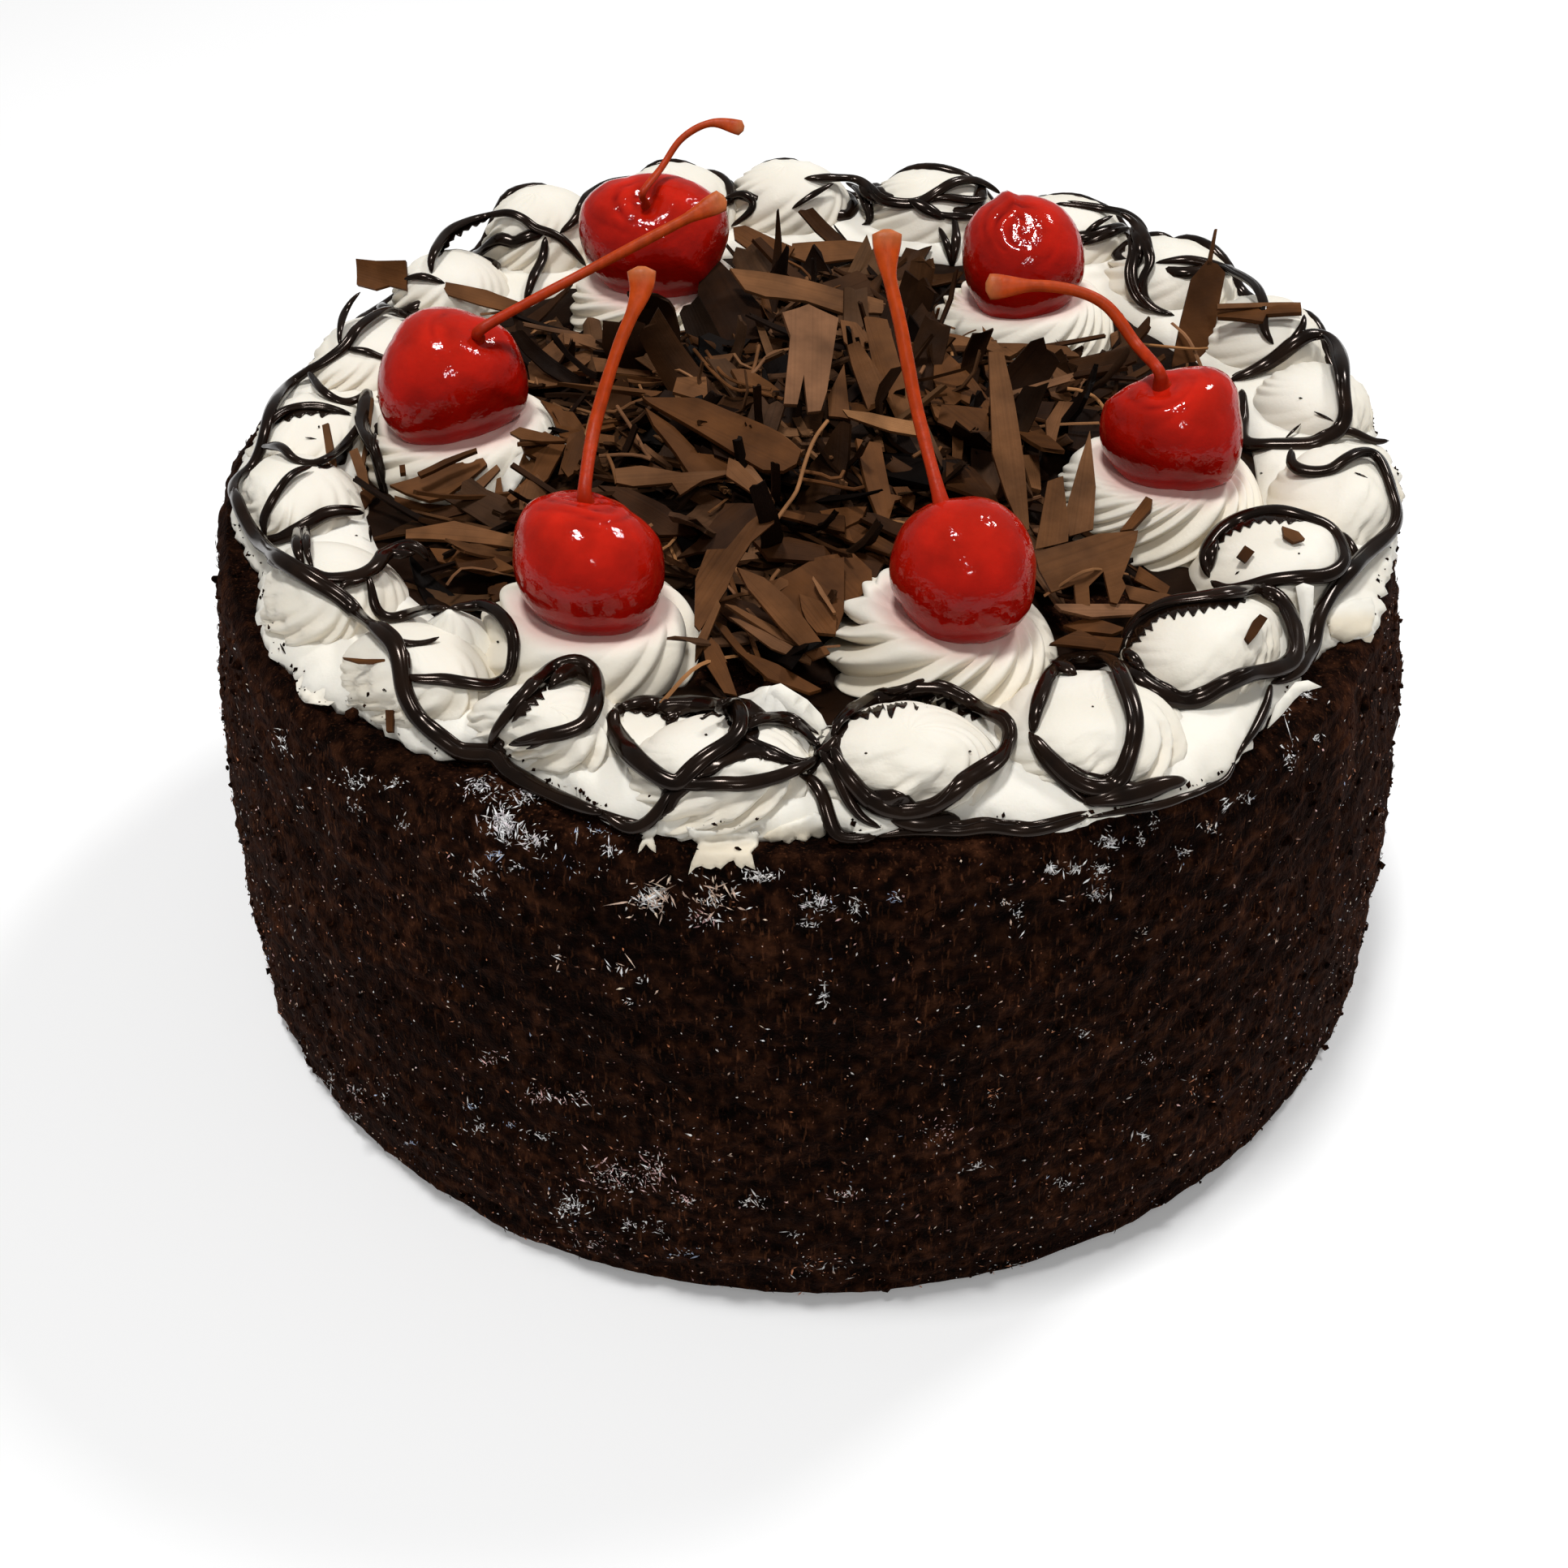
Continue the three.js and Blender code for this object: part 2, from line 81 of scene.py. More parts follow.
# ---- mathematics on arrays of points ----
def unit(vectors):
    vectors = np.asarray(vectors, float)
    return vectors / np.linalg.norm(vectors, axis=-1, keepdims=True)


def hashed(x, y, z, seed):
    """A value between 0 and 1 for every whole-numbered cell."""
    mixed = (x * 374761393 + y * 668265263 + z * 1442695041 + seed * 1274126177) & 0xFFFFFFFF
    mixed = ((mixed ^ (mixed >> 13)) * 1274126177) & 0xFFFFFFFF
    mixed = ((mixed ^ (mixed >> 16)) * 668265263) & 0xFFFFFFFF
    return (mixed ^ (mixed >> 13)) / 2.0 ** 32


def noise(points, size, seed=0):
    """Smooth noise between -1 and 1 with lumps about `size` across."""
    scaled = np.asarray(points, float) / size
    cell = np.floor(scaled).astype(np.int64)
    t = scaled - cell
    t = t * t * (3 - 2 * t)
    total = np.zeros(len(scaled))
    for corner in np.ndindex(2, 2, 2):
        weight = np.prod(np.where(np.array(corner), t, 1 - t), axis=1)
        total += weight * hashed(*(cell + corner).T, seed)
    return 2 * total - 1


def rough_noise(points, size, octaves, seed=0):
    """Noise on several scales, each half as large and half as strong as the last."""
    total = sum(noise(points, size / 2 ** i, seed + i) / 2 ** i for i in range(octaves))
    return total / (2 - 2.0 ** (1 - octaves))


def cell_noise(points, size, seed=0):
    """Distance to the nearest of scattered seeds, about 1 halfway between them."""
    scaled = np.asarray(points, float) / size
    cell = np.floor(scaled).astype(np.int64)
    nearest = np.full(len(scaled), 9.0)
    for offset in np.ndindex(3, 3, 3):
        other = cell + np.array(offset) - 1
        place = other + np.column_stack([hashed(*other.T, seed + i) for i in range(3)])
        nearest = np.minimum(nearest, np.linalg.norm(scaled - place, axis=1))
    return nearest


def ramp(low, high, values):
    """0 below `low`, 1 above `high` and smooth between."""
    t = np.clip((np.asarray(values, float) - low) / (high - low), 0, 1)
    return t * t * (3 - 2 * t)


def on_circle(degrees, radius, height):
    """Points at some angles, a radius and a height."""
    angle = np.radians(degrees)
    return np.stack([radius * np.cos(angle), radius * np.sin(angle), height + 0 * angle], axis=-1)


def seeded_random(seed):
    """The same draws as the solids' own generator, so that swirls stand where theirs do."""
    state = seed
    while True:
        state = (state + 0x6D2B79F5) & 0xFFFFFFFF
        mixed = ((state ^ (state >> 15)) * (1 | state)) & 0xFFFFFFFF
        mixed = ((mixed + (mixed ^ (mixed >> 7)) * (61 | mixed)) & 0xFFFFFFFF) ^ mixed
        yield ((mixed ^ (mixed >> 14)) & 0xFFFFFFFF) / 2.0 ** 32


def curve_through(points, step):
    """A smooth curve through the points, resampled at an even `step`."""
    p = np.asarray(points, float)
    p = np.vstack([2 * p[0] - p[1], p, 2 * p[-1] - p[-2]])
    t = np.linspace(0, 1, 12, endpoint=False)[:, None]
    pieces = []
    for a, b, c, d in zip(p[:-3], p[1:-2], p[2:-1], p[3:]):
        bend = (2 * a - 5 * b + 4 * c - d) * t ** 2 + (3 * b - a - 3 * c + d) * t ** 3
        pieces.append(0.5 * (2 * b + (c - a) * t + bend))
    dense = np.vstack(pieces + [p[-2:-1]])
    length = np.r_[0, np.cumsum(np.linalg.norm(np.diff(dense, axis=0), axis=1))]
    at = np.linspace(0, length[-1], max(int(length[-1] / step), 2) + 1)
    return np.column_stack([np.interp(at, length, dense[:, i]) for i in range(p.shape[1])])


def smoothed(values, rounds):
    """Evens out a run of values and keeps its two ends."""
    values = np.array(values, float)
    for _ in range(rounds):
        values[1:-1] = (values[:-2] + 2 * values[1:-1] + values[2:]) / 4
    return values


# ---- gathering closed surfaces into one mesh ----
class Shape:
    """Closed surfaces in one mesh. Each point carries a tint of three numbers for its material."""

    def __init__(self):
        self.points = []
        self.faces = []
        self.tints = []
        self.total = 0

    def add(self, points, faces, tint=(0.5, 0.5, 0.5)):
        """`faces` is a list of arrays of quads and triangles that index `points`."""
        points = np.asarray(points, float).reshape(-1, 3)
        corners = (points - points.mean(0))[np.vstack([face[:, :3] for face in faces])]
        volume = np.einsum("ij,ij->", corners[:, 0], np.cross(corners[:, 1], corners[:, 2]))
        for face in faces:
            turned = face[:, ::-1] if volume < 0 else face
            self.faces.append(turned + self.total)
        self.points.append(points)
        self.tints.append(np.broadcast_to(np.asarray(tint, float), (len(points), 3)))
        self.total += len(points)

    def loft(self, rings, tint=(0.5, 0.5, 0.5)):
        """A body through closed rings of points, (rings, points, 3), with both ends capped."""
        rings = np.asarray(rings, float)
        rows, columns, _ = rings.shape
        ends = np.array([rings[0].mean(0), rings[-1].mean(0)])
        index = np.arange(rows * columns).reshape(rows, columns)
        after = np.roll(index, -1, axis=1)
        quads = np.stack([index[:-1], after[:-1], after[1:], index[1:]], axis=-1).reshape(-1, 4)
        bottom = np.full(columns, rows * columns)
        fans = np.vstack([
            np.column_stack([bottom, after[0], index[0]]),
            np.column_stack([bottom + 1, index[-1], after[-1]]),
        ])
        tint = np.asarray(tint, float)
        if tint.ndim == 3:
            tint = np.vstack([tint.reshape(-1, 3), tint[0].mean(0), tint[-1].mean(0)])
        self.add(np.vstack([rings.reshape(-1, 3), ends]), [quads, fans], tint)

    def closed_sweep(self, rings, tint):
        """A body whose last ring joins its first, as in a hoop."""
        rows, columns, _ = rings.shape
        index = np.arange(rows * columns).reshape(rows, columns)
        after = np.roll(index, -1, axis=1)
        next_row = np.roll(index, -1, axis=0)
        both = np.roll(after, -1, axis=0)
        quads = np.stack([index, after, both, next_row], axis=-1).reshape(-1, 4)
        self.add(rings, [quads], tint)

    def mesh_object(self, name, material, sharp_degrees=None):
        """Makes the object, in metres; edges sharper than `sharp_degrees` aren't smoothed over."""
        points = np.vstack(self.points) * MM
        loops = np.concatenate([face.ravel() for face in self.faces])
        sizes = np.concatenate([np.full(len(face), face.shape[1]) for face in self.faces])
        starts = np.r_[0, np.cumsum(sizes)[:-1]]
        mesh = bpy.data.meshes.new(name)
        mesh.vertices.add(len(points))
        mesh.vertices.foreach_set("co", points.astype(np.float32).ravel())
        mesh.loops.add(len(loops))
        mesh.loops.foreach_set("vertex_index", loops.astype(np.int32))
        mesh.polygons.add(len(sizes))
        mesh.polygons.foreach_set("loop_start", starts.astype(np.int32))
        mesh.polygons.foreach_set("use_smooth", np.ones(len(sizes), bool))
        tints = np.vstack(self.tints)
        colours = np.column_stack([tints, np.ones(len(tints))]).astype(np.float32)
        attribute = mesh.attributes.new("tint", "FLOAT_COLOR", "POINT")
        attribute.data.foreach_set("color", colours.ravel())
        mesh.update(calc_edges=True)
        mesh.validate()
        if sharp_degrees:
            mesh.set_sharp_from_angle(angle=math.radians(sharp_degrees))
        mesh.materials.append(material)
        piece = bpy.data.objects.new(name, mesh)
        bpy.context.scene.collection.objects.link(piece)
        return piece


def one_body(rings, tint=(0.5, 0.5, 0.5)):
    """A shape that is a single body through closed rings."""
    shape = Shape()
    shape.loft(rings, tint)
    return shape


def finished(shape, name, material, replaced=(), sharp_degrees=None):
    """Makes a piece of the cake, which rides on the one body and stands for CAD nodes."""
    piece = shape.mesh_object(name, material, sharp_degrees)
    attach(piece, "root")
    if replaced:
        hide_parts(*replaced)
    return piece


def tube_rings(path, up, half_width, half_height, sides):
    """Rings of an oval tube along a path; `up` is the direction of its height at each point."""
    tangent = unit(np.gradient(path, axis=0))
    side = unit(np.cross(tangent, up))
    over = np.cross(side, tangent)
    angle = np.linspace(0, 2 * np.pi, sides, endpoint=False)
    across = np.cos(angle)[None, :, None] * side[:, None] * np.reshape(half_width, (-1, 1, 1))
    upward = np.sin(angle)[None, :, None] * over[:, None] * np.reshape(half_height, (-1, 1, 1))
    return path[:, None] + across + upward


# ---- materials ----
class Nodes:
    """Short ways to write a material's nodes."""

    def __init__(self, name):
        self.material = bpy.data.materials.new(name)
        self.material.use_nodes = True
        self.tree = self.material.node_tree
        self.shader = self.tree.nodes["Principled BSDF"]

    def add(self, kind, **settings):
        """Adds a node; settings that name an input are its value or the socket linked to it."""
        node = self.tree.nodes.new("ShaderNode" + kind)
        for key, value in settings.items():
            if hasattr(node, key):
                setattr(node, key, value)
        for key, value in settings.items():
            if not hasattr(node, key):
                self.feed(node, key, value)
        return node

    def feed(self, node, key, value):
        """Sets or links an input, given by its name or, as in _6, by its number."""
        name = key.replace("_", " ")
        socket = node.inputs[int(key[1:])] if key[1:].isdigit() else node.inputs[name]
        if isinstance(value, bpy.types.NodeSocket):
            self.tree.links.new(value, socket)
        else:
            socket.default_value = value

    def set(self, **values):
        """Sets or links inputs of the shader, named with _ for a space."""
        for key, value in values.items():
            self.feed(self.shader, key, value)

    def tint(self):
        """The three numbers that each point of the mesh carries."""
        attribute = self.add("Attribute", attribute_name="tint")
        return self.add("SeparateColor", _0=attribute.outputs["Color"]).outputs

    def noise(self, size, detail, stretch=None):
        """Noise with lumps about `size` mm across."""
        vector = self.add("TexCoord").outputs["Object"]
        if stretch:
            vector = self.add("Mapping", Vector=vector, Scale=stretch).outputs[0]
        return self.add("TexNoise", Vector=vector, Scale=1 / (size * MM), Detail=detail).outputs["Fac"]

    def ramp(self, factor, stops):
        """Colours along a factor: a list of (position, colour)."""
        node = self.add("ValToRGB", _0=factor)
        elements = node.color_ramp.elements
        while len(elements) < len(stops):
            elements.new(0.5)
        for element, (position, colour) in zip(elements, stops):
            element.position = position
            element.color = rgba(colour)
        return node.outputs["Color"]

    def mix(self, factor, one, two, blend="MIX"):
        node = self.add("Mix", data_type="RGBA", blend_type=blend, _0=factor, _6=one, _7=two)
        return node.outputs[2]

    def times(self, one, two):
        """One colour multiplied by another."""
        return self.mix(1.0, one, two, "MULTIPLY")

    def maths(self, operation, one, two):
        return self.add("Math", operation=operation, _0=one, _1=two).outputs[0]

    def bump(self, height, depth):
        """A bump `depth` mm deep, on top of those made before."""
        node = self.add("Bump", Height=height, Distance=depth * MM)
        links = self.shader.inputs["Normal"].links
        if links:
            self.feed(node, "Normal", links[0].from_socket)
        self.set(Normal=node.outputs[0])


def grey(value):
    return (value, value, value)


def rgba(colour):
    return (*colour, 1.0)


CREAM = (0.89, 0.845, 0.745)
CREAM_SHADE = (0.84, 0.79, 0.68)
CREAM_LIGHT = (0.92, 0.88, 0.79)
# Painted shade for the cream: the warmer, darker tone of pleats, low flanks, drips and smears.
CREAM_PAINTED_SHADE = (0.76, 0.66, 0.50)
CHERRY_STAIN = (0.80, 0.33, 0.30)


def cream_material():
    """Whipped cream. Tint: the cherry's stain, and painted shade by pleat depth and by how steep and low it
    lies.
    """
    n = Nodes("whipped_cream")
    colour = n.ramp(n.noise(14, 2), [(0.3, CREAM_SHADE), (0.5, CREAM), (0.75, CREAM_LIGHT)])
    tint = n.tint()
    # Painted shade, mixed in by the depth in a pleat and by how steep and low the cream lies.
    colour = n.mix(n.maths("MULTIPLY", tint[1], 0.35), colour, rgba(CREAM_PAINTED_SHADE))
    colour = n.mix(n.maths("MULTIPLY", tint[2], 0.6), colour, rgba(CREAM_PAINTED_SHADE))
    stain = n.maths("MULTIPLY", tint[0], n.maths("ADD", n.noise(5, 3), 0.35))
    colour = n.mix(stain, colour, rgba(CHERRY_STAIN))
    n.set(Base_Color=colour, Roughness=0.5, Specular_IOR_Level=0.25)
    n.set(Subsurface_Weight=0.12, Subsurface_Radius=(1.0, 0.8, 0.6), Subsurface_Scale=1.2 * MM)
    n.bump(n.noise(2.6, 4), 0.12)
    n.bump(n.noise(0.45, 2), 0.03)
    return n.material


def chocolate_sauce_material():
    """Glossy, nearly black sauce with a warm shine."""
    n = Nodes("chocolate_sauce")
    colour = n.ramp(n.noise(5, 3), [(0.35, (0.004, 0.002, 0.0012)), (0.7, (0.013, 0.0062, 0.0034))])
    n.set(Base_Color=colour, Roughness=0.15, Specular_IOR_Level=0.28)
    n.set(Specular_Tint=rgba((1.0, 0.82, 0.72)))
    n.bump(n.noise(6, 1), 0.05)
    return n.material


def cherry_material():
    """Candied cherry. Tint red: depth in a wrinkle, for painted shade. Tint green: height, for painted
    light.
    """
    n = Nodes("candied_cherry")
    tint = n.tint()
    # Painted light by height: brighter at the top, a painted bounce from the cream at the bottom, darker
    # between.
    body = n.ramp(tint[1], [
        (0.0, (0.60, 0.026, 0.016)), (0.2, (0.50, 0.012, 0.007)), (0.30, (0.36, 0.003, 0.001)),
        (0.6, (0.44, 0.006, 0.002)), (1.0, (0.58, 0.016, 0.005)),
    ])
    mottle = n.ramp(n.noise(6, 4), [(0.35, grey(0.72)), (0.7, grey(1.08))])
    # Painted shade deep in the wrinkles.
    colour = n.times(n.mix(tint[0], body, rgba((0.22, 0.002, 0.001))), mottle)
    n.set(Base_Color=colour, Roughness=0.06, Specular_IOR_Level=0.24)
    n.set(Subsurface_Weight=0.12, Subsurface_Radius=(1.0, 0.10, 0.05), Subsurface_Scale=2.5 * MM)
    n.bump(n.noise(2.6, 3), 0.20)
    n.bump(n.noise(1.3, 2, stretch=(1, 1, 1.8)), 0.05)
    return n.material


def stem_material():
    """A cherry's stalk. Tint red runs from the cherry to the tip."""
    n = Nodes("cherry_stem")
    tint = n.tint()
    colour = n.ramp(tint[0], [
        (0.0, (0.42, 0.016, 0.002)), (0.35, (0.46, 0.040, 0.003)), (0.93, (0.52, 0.062, 0.004)),
        (1.0, (0.54, 0.16, 0.05)),
    ])
    streak = n.ramp(n.noise(1.3, 3, stretch=(1, 1, 0.25)), [(0.35, grey(0.8)), (0.65, grey(1.03))])
    n.set(Base_Color=n.times(colour, streak), Roughness=0.42, Specular_IOR_Level=0.16)
    n.set(Subsurface_Weight=0.12, Subsurface_Radius=(1.0, 0.2, 0.05), Subsurface_Scale=0.8 * MM)
    n.bump(n.noise(0.9, 2, stretch=(1, 1, 0.2)), 0.08)
    return n.material


def shavings_material():
    """Chocolate shavings. Tint: how far across the grain, the piece's own shade, its depth for painted
    shade.
    """
    n = Nodes("chocolate_shavings")
    tint = n.tint()
    own = n.ramp(tint[1], [
        (0.0, (0.007, 0.0026, 0.0008)), (0.15, (0.017, 0.0064, 0.0022)),
        (0.3, (0.050, 0.0178, 0.0048)), (0.45, (0.108, 0.0400, 0.0115)),
        (0.6, (0.160, 0.0690, 0.0270)), (0.75, (0.205, 0.0960, 0.0460)), (1.0, (0.35, 0.160, 0.060)),
    ])
    across = n.maths("MULTIPLY", tint[0], 16.0)
    lines = n.add("CombineXYZ", X=across, Y=n.maths("MULTIPLY", tint[1], 90.0))
    grain = n.add("TexNoise", Vector=lines.outputs[0], Scale=1.0, Detail=2.0).outputs["Fac"]
    streak = n.ramp(grain, [(0.3, grey(0.8)), (0.42, grey(0.96)), (0.75, grey(1.08))])
    colour = n.times(own, streak)
    colour = n.times(colour, n.ramp(n.noise(7, 3), [(0.3, grey(0.6)), (0.7, grey(1.25))]))
    # Painted shade: darker low in the heap, in its hollows and on the undersides.
    deep = n.ramp(tint[2], [(0.0, grey(0.05)), (0.4, grey(0.3)), (0.8, grey(1.0))])
    n.set(Base_Color=n.times(colour, deep), Roughness=0.6, Specular_IOR_Level=0.06)
    n.bump(n.noise(9, 2), 0.9)
    n.bump(grain, 0.06)
    n.bump(n.noise(0.8, 3), 0.06)
    return n.material


def crumb_material():
    """Dark cake crumb with a velvety bloom. Tint red is a grain's own shade, on the side painted shade and
    light.
    """
    n = Nodes("chocolate_crumb")
    tint = n.tint()
    colour = n.ramp(n.noise(2.4, 8), [
        (0.38, (0.0022, 0.0007, 0.0003)), (0.52, (0.0100, 0.0031, 0.0014)),
        (0.68, (0.034, 0.0115, 0.0048)),
    ])
    streak = n.ramp(n.noise(0.5, 3, stretch=(1, 1, 0.14)), [(0.58, grey(0.0)), (0.72, grey(1.0))])
    colour = n.mix(n.maths("MULTIPLY", streak, 0.7), colour, rgba((0.085, 0.030, 0.0125)))
    broad = n.ramp(n.noise(13, 4), [(0.35, grey(0.5)), (0.68, grey(1.55))])
    colour = n.times(colour, broad)
    own = n.ramp(tint[0], [(0.0, grey(0.5)), (0.5, grey(1.2)), (1.0, grey(4.0))])
    n.set(Base_Color=n.times(colour, own), Roughness=0.9, Specular_IOR_Level=0.03)
    n.set(Sheen_Weight=0.05, Sheen_Roughness=0.4, Sheen_Tint=rgba((0.5, 0.14, 0.05)))
    n.bump(n.noise(1.6, 4, stretch=(1, 1, 0.55)), 0.8)
    n.bump(n.noise(0.5, 3), 0.35)
    return n.material


def fleck_material():
    """Flecks of sugar and coconut in the coat, the pale ones partly painted glints. Tint is their colour.
    """
    n = Nodes("pale_flecks")
    own = n.add("Attribute", attribute_name="tint").outputs["Color"]
    shade = n.ramp(n.noise(0.8, 2), [(0.3, grey(0.85)), (0.7, grey(1.1))])
    n.set(Base_Color=n.times(own, shade), Roughness=0.35)
    return n.material


def floor_material():
    """A pale floor with a faint glow, so that it stays as white as in the picture."""
    n = Nodes("pale_floor")
    n.set(Base_Color=n.ramp(n.noise(400, 2), [(0.3, grey(0.95)), (0.7, grey(0.97))]), Roughness=0.7)
    n.set(Emission_Color=rgba(grey(1.0)), Emission_Strength=0.1)
    return n.material


# ---- camera ----
def camera_axes():
    """The camera's place and its right, up and forward directions."""
    away = np.array([0, -math.cos(CAMERA_ELEVATION), math.sin(CAMERA_ELEVATION)])
    place = away * CAMERA_DISTANCE
    forward = unit(CAMERA_AIM - place)
    level = unit(np.cross(forward, [0, 0, 1]))
    upright = np.cross(level, forward)
    right = math.cos(CAMERA_ROLL) * level + math.sin(CAMERA_ROLL) * upright
    up = -math.sin(CAMERA_ROLL) * level + math.cos(CAMERA_ROLL) * upright
    return place, right, up, forward


EYE, EYE_RIGHT, EYE_UP, EYE_FORWARD = camera_axes()


def make_camera():
    """The camera that took the picture, fitted to the cake's base, rim and cherries."""
    data = bpy.data.cameras.new("camera")
    data.sensor_width = SENSOR
    data.lens = SENSOR * FOCAL_PIXELS / PHOTO_SIZE
    data.clip_start = 0.02
    data.clip_end = 20
    camera = bpy.data.objects.new("camera", data)
    axes = Matrix([[*row] for row in np.column_stack([EYE_RIGHT, EYE_UP, -EYE_FORWARD])]).to_4x4()
    camera.matrix_world = Matrix.Translation(Vector(EYE * MM)) @ axes
    bpy.context.scene.collection.objects.link(camera)
    bpy.context.scene.camera = camera


def photo_rays(pixels):
    """Directions of the rays through pixels of the picture."""
    pixels = np.atleast_2d(np.asarray(pixels, float))
    aside = (pixels[:, :1] - PHOTO_SIZE / 2) / FOCAL_PIXELS
    above = (PHOTO_SIZE / 2 - pixels[:, 1:2]) / FOCAL_PIXELS
    return unit(EYE_FORWARD + aside * EYE_RIGHT + above * EYE_UP)


def at_height(pixels, height):
    """Where the rays through some pixels meet a height, or several heights."""
    rays = photo_rays(pixels)
    reach = (np.asarray(height, float) - EYE[2]) / rays[:, 2]
    return EYE + rays * reach[:, None]


# Samples on either side over which a rope keeps to the nearer surface.
BRIDGE = 4
# The height taken for a run of pixels that shows nothing to lie on.
SPARE_HEIGHT = CAKE_TOP + 8.5
HIGH_ABOVE = 200.0
UP = (0.0, 0.0, 1.0)
DOWN = (0.0, 0.0, -1.0)


def pixel_list(text):
    """Pixels of the picture, written as "x,y x,y"."""
    return np.array([[float(value) for value in pair.split(",")] for pair in text.split()])


class Surface:
    """Something that ropes of sauce and scraps can be laid on."""

    def __init__(self, shapes):
        points = []
        faces = []
        total = 0
        for shape in shapes:
            points.extend(np.vstack(shape.points).tolist())
            for face in shape.faces:
                faces.extend((face + total).tolist())
            total += shape.total
        self.tree = BVHTree.FromPolygons(points, faces)

    def cast(self, pixels):
        """The rays through pixels, and the point, normal, index and distance that each one meets."""
        rays = photo_rays(pixels)
        return rays, [self.tree.ray_cast(Vector(EYE), Vector(ray)) for ray in rays]

    def seen_at(self, pixels):
        """Points and normals under a run of pixels, bridging what lies too deep."""
        rays, met = self.cast(pixels)
        reach = np.full(len(rays), np.nan)
        normals = np.tile(UP, (len(rays), 1))
        for i, (point, normal, _, distance) in enumerate(met):
            if point is not None and point.z > CAKE_TOP - 1:
                reach[i] = distance
                normals[i] = normal
        known = np.isfinite(reach)
        if known.any():
            reach = np.interp(np.arange(len(rays)), np.flatnonzero(known), reach[known])
        else:
            reach = np.linalg.norm(at_height(pixels, SPARE_HEIGHT) - EYE, axis=1)
        ahead = np.pad(reach, BRIDGE, mode="edge")
        nearest = np.min([ahead[i:i + len(reach)] for i in range(2 * BRIDGE + 1)], axis=0)
        return EYE + rays * smoothed(nearest, 9)[:, None], smoothed(normals, 6)

    def hit(self, pixels):
        """Points and normals under those of some pixels that show the surface."""
        _, met = self.cast(pixels)
        found = [(*point, *normal) for point, normal, _, _ in met if point is not None]
        found = np.array(found).reshape(-1, 6)
        return found[:, :3], found[:, 3:]

    def just_at(self, pixels):
        """Points right under a run of pixels, and the directions from there to the camera."""
        rays, met = self.cast(pixels)
        reach = []
        for _, _, _, distance in met:
            reach.append(distance or (reach[-1] if reach else CAMERA_DISTANCE))
        return EYE + rays * smoothed(reach, 1)[:, None], -rays

    def reach(self, pixels):
        """How far from the camera the surface lies under each pixel."""
        found = np.array([distance or np.nan for _, _, _, distance in self.cast(pixels)[1]])
        return np.where(np.isnan(found), np.nanmedian(found), found)

    def below(self, places):
        """Points and normals straight under places, given as x and y."""
        found = []
        for x, y in places:
            point, normal, _, _ = self.tree.ray_cast(Vector((x, y, HIGH_ABOVE)), Vector(DOWN))
            if point is None:
                point, normal, _, _ = self.tree.find_nearest(Vector((x, y, CAKE_TOP + 3)))
            found.append((*point, *normal))
        found = np.array(found)
        return found[:, :3], found[:, 3:]


# ---- cake side ----
# The smooth side from foot to rim: how far it stands out from the cake's radius, and the height.
SIDE_PROFILE = [(-2.5, 0), (-0.6, 1.5), (0, 13), (-0.8, 27), (-1.6, 41), (-2.5, 55), (-3.5, 68),
                (-4.5, 80), (-5.4, 87.8), (-7.4, 90)]
# How far the crumb tapers in under the rim, by degrees round the cake, and the heights where the taper
# starts and is full.
SIDE_TAPER = [(0, 4.0), (90, 4.0), (180, 2.1), (196, 2.1), (228, 0), (312, 0), (344, 4.0), (360, 4.0)]
TAPER_START = 52.0
TAPER_END = 86.0
TALLEST_CRUMB = 1.6
SIDE_COLUMNS = 480
SIDE_ROWS = 130
RIM_RADIUS = CAKE_RADIUS - 7.4
# The crumb goes on under the cream's edge, as a ledge that ends here.
LEDGE_INNER = 84.0


def side_radius(height):
    """Radius of the smooth side at a height."""
    inset, heights = np.array(SIDE_PROFILE).T
    return CAKE_RADIUS + np.interp(height, heights, inset)


def side_relief(points):
    """How far the crumbs stand out from the smooth side."""
    lumps = 0.55 - cell_noise(points, 2.6, 3)
    clods = 0.5 - cell_noise(points, 6.5, 8)
    return 1.3 * rough_noise(points, 16, 3, 1) + 1.1 * lumps + 1.0 * clods - 0.3


def side_taper(points):
    """How far the crumb stays in, under the cream's edge at the sides and the back."""
    degrees, most = np.array(SIDE_TAPER).T
    around = np.degrees(np.arctan2(points[:, 1], points[:, 0])) % 360
    return np.interp(around, degrees, most) * ramp(TAPER_START, TAPER_END, points[:, 2])


def outward_relief(points):
    """How far the crumb stands out: its relief, fading out at the foot and the rim, less the taper."""
    relief = np.minimum(side_relief(points), TALLEST_CRUMB) * ramp(0, 3, points[:, 2])
    return relief * (1 - 0.6 * ramp(86, 90, points[:, 2])) - side_taper(points)


